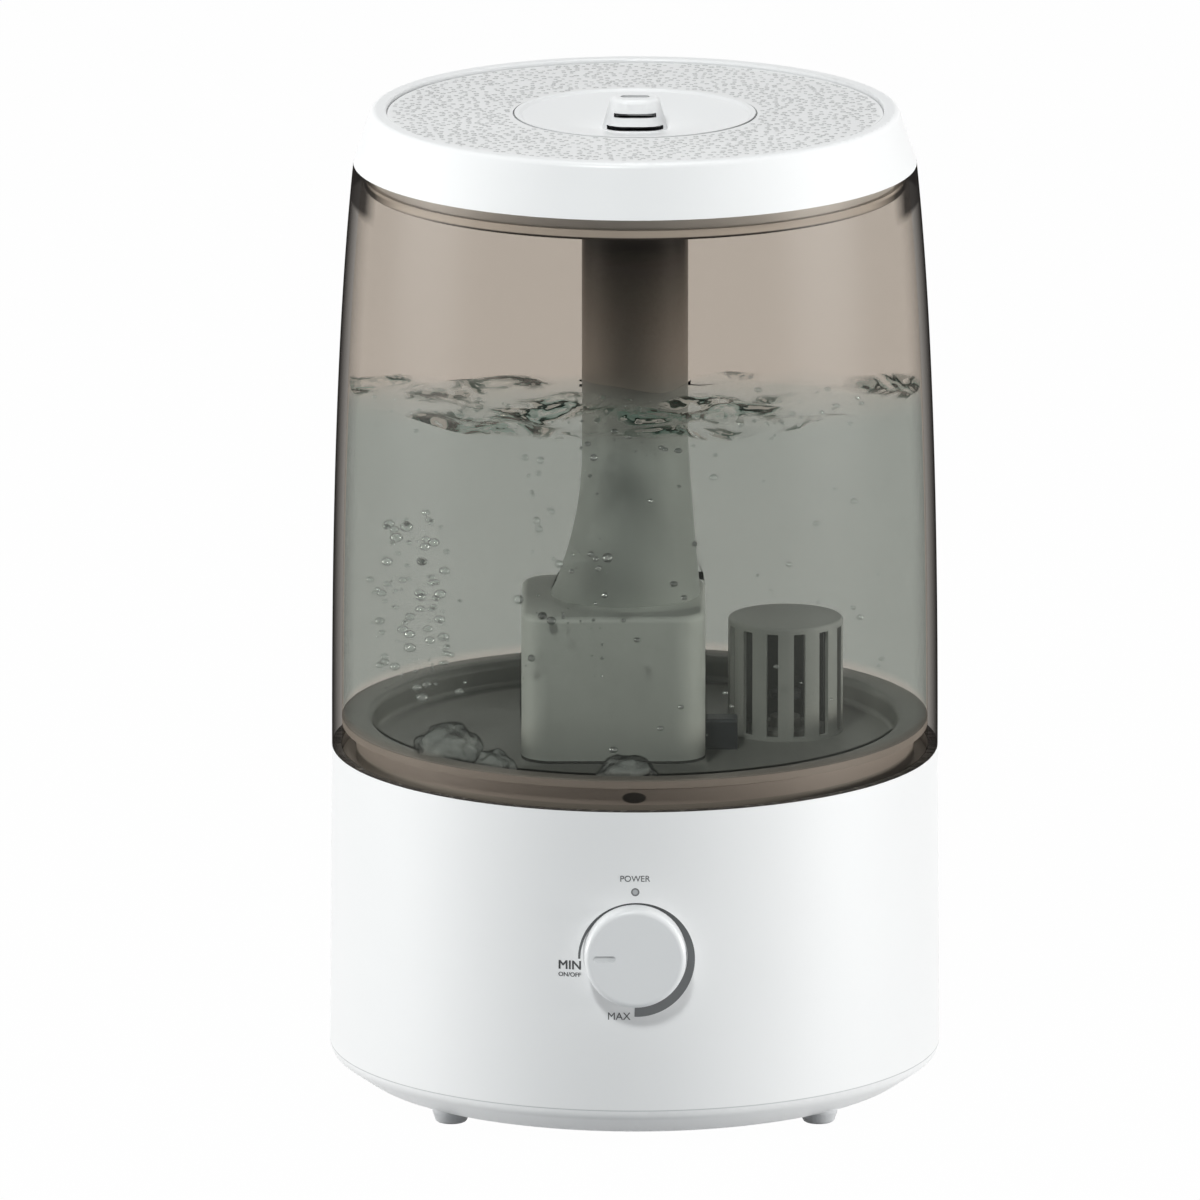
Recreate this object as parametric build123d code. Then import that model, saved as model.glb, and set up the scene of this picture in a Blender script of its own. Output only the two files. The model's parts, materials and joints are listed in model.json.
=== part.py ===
"""Top-filled cool mist humidifier: base, lift-off tank and lift-off lid.

Millimetres. The origin is the centre of the plane that the feet stand on, +Z is up and
the control knob faces -Y. Each sub-part is one function that returns one node.
"""
from build123d import *
from math import atan, cos, sin, sqrt, tan, radians
import os

# ---- the whole ----
foot_height = 3.0
base_height = 93.0
tank_height = 165.0
lid_height = 15.0

# ---- fits ----
lift_gap = 0.4          # parts that lift apart
rest_gap = 0.3          # a moving piece above or beside its seat
turn_gap = 0.05         # a shaft in its bush
leaf = 0.2              # thin parts laid in a recess

# ---- base shell ----
base_radius_low = 85.0
base_draft = 0.7        # the shell narrows by this to its seam
base_wall = 2.5
ledge_drop = 6.0        # from the seam down to the ledge that carries the basin
ledge_thickness = 3.0

# ---- bottom cover ----
cover_rim = 8.5
cover_thickness = 2.5
cover_taper = 9.5       # the cover's rim narrows by this to its underside
cover_taper_rise = 6.5  # height of that slope
cover_edge_round = 6.0
cover_rim_round = 3.6
cover_lip_rise = 3.0
cover_lip_wall = 2.2
vent_count = 7
vent_width = 2.6
vent_length = 34.0
vent_pitch = 6.0
post_inset = 15.8       # posts and cover screws, in from the shell's bore
post_radius = 4.0
cover_boss_margin = 0.8 # a cover boss beyond the post that it carries
cover_boss_web = 3.0    # left above a cover screw's head
screw_play = 0.15       # round a screw's shank
head_play = 0.2         # round a screw's head
cover_boss_rise = 9.0
screw_shank = 1.35
screw_head = 2.6
screw_head_height = 1.8
screw_length = 16.0

# ---- feet ----
foot_inset = 13.0       # in from the base's edge
foot_radius_top = 5.2
foot_radius_low = 4.2
foot_recess = 1.5
foot_round = 1.2

# ---- basin ----
basin_flange_width = 4.2
basin_flange_thickness = 3.0
basin_wall = 2.2
basin_floor = 2.5
basin_depth = 22.5      # from the seam down to the basin's floor
collar_rise = 5.5
well_x = -6.0
well_y = -11.0
well_radius = 16.0
well_wall = 2.2
well_depth = 10.5
well_floor = 2.0
chimney_gap = 0.3       # behind the well
chimney_width = 24.0
chimney_depth = 8.0
chimney_wall = 2.0
chimney_rise = 12.0     # above the seam

# ---- transducer ----
disc_radius = 10.0
disc_thickness = 1.2
disc_margin = 1.5       # how far the seal grips over the disc's edge
seal_wall = 2.5
seal_height = 3.8
clamp_thickness = 2.0
clamp_screw_ring = 16.1
clamp_boss = 2.4
small_shank = 1.25
small_head = 2.2
small_head_height = 1.3

# ---- fan ----
fan_size = 50.0
fan_depth = 15.0
fan_clearance = 3.8     # behind the well
fan_rim = 1.6           # the frame's wall beside its bore
fan_blades = 7
fan_blade_gap = 0.8
fan_shaft = 1.5
fan_corner = 3.0
fan_cup_wall = 1.4
fan_blade = 1.3
fan_blade_pitch = 38.0
fan_hole_inset = 5.0
fan_screw_shank = 1.4
duct_height = 6.0
duct_wall = 1.5
duct_floor = 2.0
duct_margin = 1.0       # beyond the fan
duct_clearance = 0.4    # from the well

# ---- level float ----
float_x = -45.0
float_y = 28.0
float_post = 3.6
float_bore_gap = 0.5
float_radius = 9.5
float_height = 10.0
float_travel = 6.0
reed_radius = 1.4
reed_length = 14.0
retainer_radius = 6.0
retainer_thickness = 2.0

# ---- knob and control ----
knob_drop = 15.0        # its axis, below the basin
knob_radius = 14.0
knob_proud = 6.2
knob_edge = 1.6
knob_recess = 1.6
mark_length = 6.2
mark_width = 1.7
mark_depth = 0.5
pad_radius = 9.0
pad_depth = 3.2
bush_radius = 3.5
bush_reach = 2.4
nut_flats = 10.0
nut_thickness = 2.0
pot_shaft = 3.0
pot_size = 17.0
pot_depth = 6.5
control_board_width = 36.0
control_board_height = 32.0
board_thickness = 1.6
control_board_drop = 2.0 # under the basin
led_inset = 2.0         # below the control board's top
knob_crown = 1.8        # left over the shaft
mark_inset = 2.4
nut_room = 0.8          # above the nut, inside the knob
nut_room_radius = 6.5
led_drop = 22.5         # below the seam
led_radius = 1.5
led_length = 4.8
pipe_thickness = 2.4
pipe_nose = 1.15        # the light pipe's end, seen in front

# ---- power inlet ----
jack_rise = 0.6         # its pad above the cover's lip
jack_barrel = 5.5
jack_flange = 7.5
jack_flange_thickness = 1.5
jack_bore = 2.9
jack_bore_depth = 10.0
jack_pin = 1.05
jack_length = 14.0
jack_recess = 2.0

# ---- driver board ----
board_length = 56.0
board_width = 36.0
board_post_gap = 0.67   # from a post
board_shell_gap = 5.2   # its corner, from the shell's bore
board_rise = 15.0       # standoffs above the cover's floor
board_hole_inset = 3.0
board_screw_length = 7.0
standoff_radius = 3.0
sink_length = 22.0
sink_width = 14.0
sink_height = 14.0
sink_fins = 5
connector_length = 8.0
connector_width = 6.0
connector_height = 7.0
lead_radius = 1.2

# ---- tank ----
tank_taper = 6.3        # the wall narrows by this to its rim
tank_bulge = 105.0      # height of the wall's control point
tank_wall = 2.8
pan_thickness = 2.0
pan_floor = 1.0         # the inner floor above the seam
hump_rise = 8.0         # the raised border above the seam

# ---- mist chamber and tube ----
chamber_side = 9.5      # outside the well, left and right
chamber_front = 4.0     # outside the well, in front
chamber_back = 4.5      # outside the chimney, behind
chamber_corner = 9.0
chamber_height = 42.6   # above the seam
chamber_wall = 2.0
chamber_lip = 1.5
gasket_thickness = 0.8
tube_radius = 14.75
tube_wall = 1.8
tube_foot_x = -2.6
tube_foot_radius_x = 20.8
tube_foot_radius_y = 19.0
tube_flare = 43.4
tube_waist_rise = 15.4
tube_waist_x = -0.6
tube_waist_radius = 17.4
tube_spigot = 3.0
clip_length = 9.0
clip_width = 8.0
clip_height = 8.5

# ---- outlet cage and float valve ----
cage_gap = 6.5          # from the chamber
cage_y = 11.0
cage_radius = 16.0
cage_wall = 1.8
cage_height = 33.4
cage_top = 1.8
cage_foot = 1.2
cage_slots = 13
cage_slot_width = 3.3
outlet_radius = 7.0
guide_wall = 1.4
guide_flange = 9.5
guide_hub_wall = 1.7
guide_rise = 6.0
stem_radius = 2.2
valve_travel = 5.0
washer_radius = 10.0
washer_thickness = 2.0
valve_float_radius = 13.0
valve_float_height = 10.0
valve_float_drop = 4.7
stop_radius = 4.2
stop_thickness = 1.8

# ---- lid ----
lid_draft = 5.0         # the lid narrows by this to its top
lid_edge_round = 2.0
rim_width = 4.2
inlay_drop = 1.2
inlay_thickness = 1.8
lid_plate = 2.0
skirt_depth = 4.8
skirt_wall = 2.1
skirt_gap = 1.6
lid_groove = 6.0        # above the tank's rim, outside the skirt
seal_band = 2.6

# ---- nozzle disc ----
nozzle_radius = 33.4
nozzle_gap = 0.5
nozzle_plate = 1.8
dish_depth = 4.0
dish_flat = 10.0
hub_radius = 30.0       # the lid's central hole
hub_wall = 1.7
hub_drop = 4.2
spout_width = 18.0
spout_depth = 15.0
spout_top_width = 13.0
spout_top_depth = 10.5
spout_rise = 3.5        # above the lid's rim
spout_wall = 1.5
spout_slot = 1.2
low_slot_width = 15.6
low_slot_drop = 4.3
high_slot_width = 11.7
high_slot_drop = 0.8
top_slot_width = 8.0
top_slot_depth = 3.2

# ---- funnel under the lid ----
funnel_flange = 4.4
funnel_wall = 1.8
funnel_spigot = 9.0
tube_drop = 1.0         # the tube's end below the tank's rim

# ---- leads and small parts on the boards ----
cap_radius = 4.0
cap_height = 11.0
small_cap_radius = 3.0
small_cap_height = 8.0
inductor_radius = 5.0
inductor_bore = 2.0
lead_step = 4.0         # the routes' runs are told in these

# ---- heights and radii that follow ----
base_radius_high = base_radius_low - base_draft
tank_radius_low = base_radius_high
tank_radius_high = tank_radius_low - tank_taper
lid_radius_top = tank_radius_high - lid_draft
z_cover = foot_height
z_part = z_cover + cover_rim
z_seam = z_cover + base_height
z_rim = z_seam + tank_height
z_lid = z_rim + lid_height
cover_top = z_cover + cover_thickness
shell_bore = base_radius_high - base_wall
post_ring = shell_bore - post_inset
foot_ring = base_radius_low - foot_inset
ledge_top = z_seam - ledge_drop
basin_radius = shell_bore - basin_flange_width
basin_bore = basin_radius - basin_wall
basin_top = z_seam - basin_depth
basin_under = basin_top - basin_floor
well_under = basin_under - well_depth + well_floor
seal_radius = disc_radius + seal_wall
chimney_top = z_seam + chimney_rise
pan_radius = basin_bore - lift_gap
pan_top = z_seam + pan_floor
pan_under = pan_top - pan_thickness
hump_top = z_seam + hump_rise
hump_under = hump_top - pan_thickness
chamber_top = z_seam + chamber_height
tube_end = z_rim - tube_drop
duct_top = basin_under
fan_top = duct_top - duct_height
fan_low = fan_top - fan_depth
board_low = cover_top + board_rise
board_top = board_low + board_thickness
inlay_seat = z_lid - inlay_drop - inlay_thickness
lid_plate_low = inlay_seat - lid_plate
spout_top = z_lid + spout_rise
tank_bore_top = tank_radius_high - tank_wall
knob_height = basin_under - knob_drop
led_height = z_seam - led_drop
well_back = well_y + well_radius + well_wall
chimney_x = well_x
chimney_y = well_back + chimney_gap + chimney_wall + chimney_depth / 2
fan_x = well_x
fan_bore = fan_size / 2 - fan_rim
fan_hub = fan_size / 4
fan_y = well_back + fan_clearance + fan_size / 2
chamber_x = well_x
chamber_low_y = well_y - well_radius - chamber_front
chamber_high_y = chimney_y + chimney_depth / 2 + chimney_wall + chamber_back
chamber_y = (chamber_low_y + chamber_high_y) / 2
chamber_width = 2 * (well_radius + chamber_side)
chamber_depth = chamber_high_y - chamber_low_y
cage_x = chamber_x + chamber_width / 2 + cage_gap + cage_radius
board_front = -(post_ring * cos(radians(45)) - post_radius - board_post_gap)
board_right = sqrt((shell_bore - board_shell_gap) ** 2 - board_front ** 2)
board_x = board_right - board_length / 2
board_y = board_front + board_width / 2

LOW = (Align.CENTER, Align.CENTER, Align.MIN)


# ---- shared shapes ----
def disc(radius, low, high, x=0.0, y=0.0):
    """Upright cylinder between two heights."""
    return Pos(x, y, low) * Cylinder(radius, high - low, align=LOW)


def ring(outer, inner, low, high, x=0.0, y=0.0):
    return disc(outer, low, high, x, y) - disc(inner, low, high, x, y)


def block(width, depth, low, high, x=0.0, y=0.0):
    """Upright box between two heights."""
    return Pos(x, y, low) * Box(width, depth, high - low, align=LOW)


def oblong(width, depth, corner, low, high, x=0.0, y=0.0):
    """Upright block with rounded corners."""
    outline = Pos(x, y, low) * RectangleRounded(width, depth, corner)
    return extrude(outline, high - low)


def oval(radius_x, radius_y, height, x=0.0, y=0.0):
    return Pos(x, y, height) * Ellipse(radius_x, radius_y)


def rod_y(radius, front, back, x=0.0, z=0.0):
    """Cylinder along Y from front to back."""
    return Pos(x, front, z) * Rot(-90, 0, 0) * Cylinder(radius, back - front, align=LOW)


def turned(points, rounds=()):
    """Solid of revolution from (radius, height) corners; rounds pairs a corner with its radius."""
    outline = make_face(Polyline(*points, close=True))
    for corner, radius in rounds:
        vertex = outline.vertices().sort_by_distance((*points[corner], 0))[0]
        outline = fillet(vertex, radius)
    return revolve(Plane.XZ * outline, Axis.Z)


def around(count, radius, start=0.0):
    """Points evenly spaced on a circle."""
    angles = [radians(start + 360.0 * step / count) for step in range(count)]
    return [(radius * cos(angle), radius * sin(angle)) for angle in angles]


def screw(x, y, seat, shank, head, head_height, length):
    """Screw driven upwards: its head lies under the seat."""
    return disc(head, seat - head_height, seat, x, y) + disc(shank, seat, seat + length, x, y)


def lead(points, radius=lead_radius):
    """Cable held at both ends: straight runs joined by the largest arcs that fit."""
    corners = [Vector(*point) for point in points]
    runs = [(b - a) for a, b in zip(corners, corners[1:])]
    bends = []
    for before, after in zip(runs, runs[1:]):
        turn = before.get_angle(after)
        bends.append(0.45 * min(before.length, after.length) / tan(radians(turn / 2)))
    print("lead bends", [round(bend, 1) for bend in bends])
    path = FilletPolyline(*points, radius=bends)
    start = Plane(origin=path @ 0, z_dir=path % 0)
    return sweep(start * Circle(radius), path=path)


def shell_radius(height):
    """Outside radius of the base at a height."""
    share = (height - z_part) / (z_seam - z_part)
    return base_radius_low + share * (base_radius_high - base_radius_low)


jack_height = z_part + cover_lip_rise + pad_radius + jack_rise
knob_seat = shell_radius(knob_height) - knob_recess
pad_back = knob_seat - pad_depth
pot_back = pad_back - pot_depth
control_board_back = pot_back - board_thickness
control_board_top = basin_under - control_board_drop
led_z = control_board_top - led_inset
jack_seat = shell_radius(jack_height) - jack_recess
knob_face = shell_radius(knob_height) + knob_proud
corner_angles = (45.0, 135.0, 225.0, 315.0)
post_points = around(4, post_ring, corner_angles[0])
foot_points = around(4, foot_ring, corner_angles[0])
clamp_points = [(well_x + x, well_y + y) for x, y in around(3, clamp_screw_ring, 30.0)]
half_pitch = fan_size / 2 - fan_hole_inset
fan_points = [(fan_x + sx * half_pitch, fan_y + sy * half_pitch) for sx in (-1, 1) for sy in (-1, 1)]
hole_x = board_length / 2 - board_hole_inset
hole_y = board_width / 2 - board_hole_inset
board_points = [(board_x + sx * hole_x, board_y + sy * hole_y) for sx in (-1, 1) for sy in (-1, 1)]


# ---- base ----
def base_shell():
    ledge_bore = basin_radius + rest_gap
    ledge_low = ledge_top - ledge_thickness
    shell = turned([
        (base_radius_low, z_part), (base_radius_high, z_seam), (shell_bore, z_seam),
        (shell_bore, ledge_top), (ledge_bore, ledge_top), (ledge_bore, ledge_low),
        (shell_bore, ledge_low - (shell_bore - ledge_bore)), (shell_bore, z_part)])
    inside = shell_bore + 1
    knob_pad = rod_y(pad_radius, -inside, -pad_back, z=knob_height)
    jack_pad = rod_y(pad_radius, jack_seat - pad_depth, inside, z=jack_height)
    shell = shell + knob_pad + jack_pad
    outside = base_radius_low + 1
    shell -= rod_y(knob_radius + lift_gap, -outside, -knob_seat, z=knob_height)
    shell -= rod_y(bush_radius, -outside, -pad_back, z=knob_height)
    shell -= rod_y(pipe_nose, -outside, -shell_bore + 2, z=led_height)
    shell -= rod_y(jack_flange + lift_gap, jack_seat, outside, z=jack_height)
    shell -= rod_y(jack_barrel, jack_seat - pad_depth - 1, outside, z=jack_height)
    return shell


def bottom_cover():
    lip_radius = shell_bore - rest_gap
    lip_bore = lip_radius - cover_lip_wall
    lip_top = z_part + cover_lip_rise
    under_radius = base_radius_low - cover_taper
    slope = cover_taper_rise / cover_taper
    floor_radius = under_radius - cover_thickness * tan(atan(slope) / 2)
    cover = turned([
        (0, z_cover), (under_radius, z_cover), (base_radius_low, z_cover + cover_taper_rise),
        (base_radius_low, z_part), (lip_radius, z_part), (lip_radius, lip_top), (lip_bore, lip_top),
        (lip_bore, cover_top + slope * (lip_bore - floor_radius)), (floor_radius, cover_top),
        (0, cover_top)], [(1, cover_edge_round), (2, cover_rim_round)])
    boss_top = cover_top + cover_boss_rise
    for x, y in post_points:
        cover += disc(post_radius + cover_boss_margin, cover_top, boss_top, x, y)
    for x, y in board_points:
        cover += disc(standoff_radius, cover_top, board_low, x, y)
        cover -= disc(small_shank, board_top - board_screw_length - 1, board_low, x, y)
    for x, y in post_points:
        cover -= disc(screw_head + head_play, z_cover, boss_top - cover_boss_web, x, y)
        cover -= disc(screw_shank + screw_play, boss_top - cover_boss_web, boss_top, x, y)
    for x, y in foot_points:
        cover -= disc(foot_radius_top, z_cover, z_cover + foot_recess, x, y)
    for index in range(vent_count):
        x = fan_x + (index - (vent_count - 1) / 2) * vent_pitch
        cover -= oblong(vent_width, vent_length, vent_width * 0.45, z_cover, cover_top, x, fan_y)
    return cover


def rubber_feet():
    feet = Part()
    for x, y in foot_points:
        foot = turned([(0, 0), (foot_radius_low, 0), (foot_radius_top, foot_height),
                       (foot_radius_top, foot_height + foot_recess), (0, foot_height + foot_recess)],
                      [(1, foot_round)])
        feet += Pos(x, y, 0) * foot
    return feet


def cover_screws():
    seat = cover_top + cover_boss_rise - cover_boss_web
    screws = Part()
    for x, y in post_points:
        screws += screw(x, y, seat, screw_shank, screw_head, screw_head_height, screw_length)
    return screws


def base_basin():
    collar_top = z_seam + collar_rise
    flange_top = ledge_top + basin_flange_thickness
    basin = turned([
        (0, basin_under), (basin_radius, basin_under), (basin_radius, ledge_top),
        (shell_bore - rest_gap, ledge_top), (shell_bore - rest_gap, flange_top),
        (basin_radius, flange_top), (basin_radius, collar_top), (basin_bore, collar_top),
        (basin_bore, basin_top), (0, basin_top)], [(8, 2.0), (6, 0.7), (7, 0.7)])
    basin += disc(well_radius + well_wall, well_under - well_floor, basin_top, well_x, well_y)
    basin += oblong(chimney_width + 2 * chimney_wall, chimney_depth + 2 * chimney_wall, 4.0,
                    basin_under, chimney_top, chimney_x, chimney_y)
    basin -= disc(well_radius, well_under, basin_top, well_x, well_y)
    basin -= disc(disc_radius - disc_margin, well_under - well_floor, well_under, well_x, well_y)
    basin -= oblong(chimney_width, chimney_depth, 2.5, basin_under, chimney_top,
                    chimney_x, chimney_y)
    boss_low = well_under - well_floor - seal_height
    for x, y in clamp_points:
        basin += disc(clamp_boss, boss_low, well_under - well_floor, x, y)
        basin -= disc(small_shank, boss_low, well_under - well_floor, x, y)
    post_low = cover_top + cover_boss_rise
    for x, y in post_points:
        basin += disc(post_radius, post_low, basin_under, x, y)
        basin -= disc(screw_shank, post_low, post_low + screw_length, x, y)
    post_top = retainer_low() + retainer_thickness
    basin += disc(float_post, basin_top, post_top, float_x, float_y)
    basin -= disc(reed_radius + leaf, basin_under, basin_under + reed_length + 1, float_x, float_y)
    return basin


def transducer_low():
    """Underside of the transducer's seal."""
    return well_under - well_floor - seal_height


def disc_low():
    return transducer_low() + (seal_height - disc_thickness) / 2


def transducer_disc():
    return disc(disc_radius, disc_low(), disc_low() + disc_thickness, well_x, well_y)


def transducer_seal():
    seal = ring(seal_radius, disc_radius - disc_margin, transducer_low(),
                well_under - well_floor, well_x, well_y)
    return seal - transducer_disc()


def transducer_clamp():
    low = transducer_low() - clamp_thickness
    clamp = ring(clamp_screw_ring + clamp_boss, disc_radius - disc_margin, low,
                 transducer_low(), well_x, well_y)
    clamp += ring(seal_radius + 1.1, seal_radius, low, well_under - well_floor - rest_gap,
                  well_x, well_y)
    for x, y in clamp_points:
        clamp -= disc(small_shank + screw_play, low, transducer_low(), x, y)
    return clamp


def transducer_screws():
    seat = transducer_low() - clamp_thickness
    screws = Part()
    for x, y in clamp_points:
        screws += screw(x, y, seat, small_shank, small_head, small_head_height,
                        clamp_thickness + seal_height - 0.5)
    return screws


# ---- fan ----
def air_duct():
    front = well_back + duct_clearance
    back = fan_y + fan_size / 2 + duct_margin
    width = fan_size + 2 * duct_margin
    depth = back - front
    y = (front + back) / 2
    duct = block(width, depth, fan_top, duct_top, fan_x, y)
    duct -= block(width - 2 * duct_wall, depth - 2 * duct_wall, fan_top + duct_floor, duct_top,
                  fan_x, y)
    duct -= disc(fan_bore, fan_top, fan_top + duct_floor, fan_x, fan_y)
    for x, y in fan_points:
        duct -= disc(fan_screw_shank, fan_top, fan_top + duct_floor, x, y)
    return duct


def fan_frame():
    frame = oblong(fan_size, fan_size, fan_corner, fan_low, fan_top, fan_x, fan_y)
    frame -= disc(fan_bore, fan_low, fan_top, fan_x, fan_y)
    hub_plate = disc(fan_hub - 0.5, fan_low, fan_low + 2, fan_x, fan_y)
    for angle in corner_angles:
        arm = Pos(fan_x, fan_y, fan_low) * Rot(0, 0, angle) * Pos(fan_bore / 2, 0, 0)
        hub_plate += arm * Box(fan_bore + 1, 2.4, 2.0, align=LOW)
    frame += hub_plate
    frame += disc(2 * fan_shaft, fan_low, fan_top - 4, fan_x, fan_y)
    frame -= disc(fan_shaft + turn_gap, fan_low + 1, fan_top - 4, fan_x, fan_y)
    for x, y in fan_points:
        frame -= disc(fan_screw_shank + 0.3, fan_low, fan_top, x, y)
    return frame


def fan_stator():
    stator = disc(fan_hub - 4.5, fan_low + 2, fan_low + 10, fan_x, fan_y)
    for angle in corner_angles:
        pole = Pos(fan_x, fan_y, fan_low + 4) * Rot(0, 0, angle) * Pos(fan_hub - 4.5, 0, 0)
        stator += pole * Box(4.0, 5.0, 4.0, align=LOW)
    stator -= disc(2 * fan_shaft, fan_low + 2, fan_low + 10, fan_x, fan_y)
    return stator


def fan_rotor():
    low = fan_low + 3
    high = fan_top - 1
    cup = disc(fan_hub, low, high) - disc(fan_hub - fan_cup_wall, low, high - 2)
    cup += disc(fan_shaft, fan_low + 1.2, high - 2)
    span = fan_bore - fan_blade_gap
    height = high - low - 1
    sweep_ring = disc(span, low + 0.5, high - 0.5) - disc(fan_hub - fan_cup_wall / 2, low + 0.5, high - 0.5)
    for index in range(fan_blades):
        turn = Rot(0, 0, 360.0 * index / fan_blades)
        place = turn * Pos((span + fan_hub) / 2, 0, (low + high) / 2)
        blade = place * Rot(fan_blade_pitch, 0, 0) * Box(span, fan_blade, height * 1.6)
        cup += blade & sweep_ring
    return Pos(fan_x, fan_y, 0) * cup


def fan_screws():
    screws = Part()
    for x, y in fan_points:
        screws += screw(x, y, fan_low, fan_screw_shank, screw_head, screw_head_height,
                        fan_depth + duct_floor - 0.3)
    return screws


# ---- level float ----
def float_high():
    return basin_top + rest_gap + float_travel + float_height


def retainer_low():
    return float_high() + rest_gap


def float_retainer():
    low = retainer_low()
    return ring(retainer_radius, float_post, low, low + retainer_thickness, float_x, float_y)


def float_magnet():
    low = float_high() - float_height
    inner = float_post + float_bore_gap + 1.2
    return ring(float_radius - 1.6, inner, low, low + 3.0, float_x, float_y)


def level_float():
    high = float_high()
    body = ring(float_radius, float_post + float_bore_gap, high - float_height, high,
                float_x, float_y)
    return body - float_magnet()


def reed_switch():
    return disc(reed_radius, basin_under + 0.5, basin_under + 0.5 + reed_length, float_x, float_y)


# ---- control ----
def control_knob():
    back = knob_seat + rest_gap
    knob = disc(knob_radius, back, knob_face)
    face_edge = knob.edges().group_by(Axis.Z)[-1]
    knob = fillet(face_edge, knob_edge)
    room_front = knob_seat + nut_thickness + nut_room
    knob -= disc(nut_room_radius, back, room_front)
    knob -= disc(pot_shaft, room_front, knob_face - knob_crown)
    mark = Pos(-knob_radius + mark_length / 2 + mark_inset, 0, knob_face - mark_depth)
    knob -= mark * extrude(SlotOverall(mark_length, mark_width), mark_depth)
    return Pos(0, 0, knob_height) * Rot(90, 0, 0) * knob


def potentiometer_shaft():
    return rod_y(pot_shaft, -(knob_face - knob_crown), -(pad_back + 0.4), z=knob_height)


def potentiometer_body():
    body = Pos(0, -(pad_back + pot_back) / 2, knob_height) * Box(pot_size, pot_depth, pot_size)
    body += rod_y(bush_radius, -(knob_seat + bush_reach), -pad_back, z=knob_height)
    return body - rod_y(pot_shaft + turn_gap, -(knob_seat + bush_reach), -pad_back + 0.1,
                        z=knob_height)


def potentiometer_nut():
    nut = extrude(RegularPolygon(nut_flats / 2, 6, major_radius=False), nut_thickness)
    nut -= disc(bush_radius, 0, nut_thickness)
    return Pos(0, -knob_seat, knob_height) * Rot(90, 0, 0) * nut


def control_board():
    y = -(pot_back + control_board_back) / 2
    z = control_board_top - control_board_height / 2
    return Pos(0, y, z) * Box(control_board_width, board_thickness, control_board_height)


def power_led():
    return rod_y(led_radius, -(pot_back + led_length), -pot_back, z=led_z)


def light_pipe():
    front = shell_bore - 0.5
    back = front - pipe_thickness
    low = led_z - led_radius
    bar = Pos(0, -(front + back) / 2, low) * Box(2 * led_radius, pipe_thickness,
                                                 led_height + led_radius - low, align=LOW)
    nose = rod_y(pipe_nose, -(shell_radius(led_height) - 0.1), -back, z=led_height)
    reach = rod_y(led_radius, -back, -(pot_back + led_length + rest_gap), z=led_z)
    return bar + nose + reach


# ---- power inlet ----
def dc_jack():
    body = rod_y(jack_flange, jack_seat, jack_seat + jack_flange_thickness, z=jack_height)
    body += rod_y(jack_barrel, jack_seat - jack_length, jack_seat, z=jack_height)
    front = jack_seat + jack_flange_thickness
    return body - rod_y(jack_bore, front - jack_bore_depth, front, z=jack_height)


def dc_jack_pin():
    front = jack_seat + jack_flange_thickness
    return rod_y(jack_pin, front - jack_bore_depth, front - 1.5, z=jack_height)


def dc_jack_nut():
    back = jack_seat - pad_depth
    nut = extrude(RegularPolygon(jack_flange, 6, major_radius=False), nut_thickness)
    nut -= disc(jack_barrel, 0, nut_thickness)
    return Pos(0, back, jack_height) * Rot(90, 0, 0) * nut


# ---- driver board ----
sink_x = board_x + board_length / 4
plug_y = board_y + board_width / 2 - connector_width / 2
plug_front_y = board_y - board_width / 2 + connector_width / 2 + board_hole_inset / 3
plug_top = board_top + connector_height
plug_mid = board_top + connector_height / 2
plug_points = {
    "power": (board_x - 3 * lead_step, plug_y),
    "fan": (board_x + lead_step, plug_y),
    "transducer": (board_x - 5 * lead_step, board_y - lead_step / 4),
    "control": (board_x - 2.5 * lead_step, plug_front_y),
}


def driver_board():
    board = block(board_length, board_width, board_low, board_top, board_x, board_y)
    for x, y in board_points:
        board -= disc(small_shank + screw_play, board_low, board_top, x, y)
    return board


def board_screws():
    screws = Part()
    for x, y in board_points:
        screws += disc(small_head, board_top, board_top + small_head_height, x, y)
        screws += disc(small_shank, board_top - board_screw_length, board_top, x, y)
    return screws


def heat_sink():
    sink = block(sink_length, sink_width, board_top, board_top + sink_height, sink_x, board_y)
    gap = sink_length / (2 * sink_fins - 1)
    for index in range(sink_fins - 1):
        x = sink_x - sink_length / 2 + gap * (2 * index + 1.5)
        sink -= block(gap, sink_width, board_top + 3, board_top + sink_height, x, board_y)
    return sink


def board_capacitors():
    sizes = (
        (-cap_radius / 2, -9 / 4 * cap_radius, cap_radius, cap_height),
        (-cap_radius, 3 / 4 * cap_radius, cap_radius, cap_height),
        (7 / 4 * cap_radius, -13 / 4 * cap_radius, small_cap_radius, small_cap_height),
    )
    caps = Part()
    for dx, dy, radius, height in sizes:
        caps += disc(radius, board_top, board_top + height, board_x + dx, board_y + dy)
    return caps


def board_inductor():
    x = board_x - 2.6 * inductor_radius
    y = board_y + 1.2 * inductor_radius
    return ring(inductor_radius, inductor_bore, board_top, board_top + inductor_radius, x, y)


def board_connectors():
    plugs = Part()
    for x, y in plug_points.values():
        plugs += block(connector_length, connector_width, board_top, plug_top, x, y)
    return plugs


def power_lead():
    x, y = plug_points["power"]
    start = jack_seat - jack_length
    return lead([(0, start, jack_height), (0, start - 4 * lead_step, jack_height),
                 (x * 0.6, start - 9 * lead_step, plug_mid), (x, y + 5.5 * lead_step, plug_mid),
                 (x, y + connector_width / 2, plug_mid)])


def fan_lead():
    x, y = plug_points["fan"]
    side = fan_x + fan_size / 2
    exit_y = fan_y - 3 * lead_step
    z = fan_low + lead_step
    turn_z = plug_top + 0.3 * (z - plug_top)
    return lead([(side, exit_y, z), (side + 3 * lead_step, exit_y, z),
                 (x, y + 2 * lead_step, z - 0.75 * lead_step), (x, y, turn_z), (x, y, plug_top)])


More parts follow.
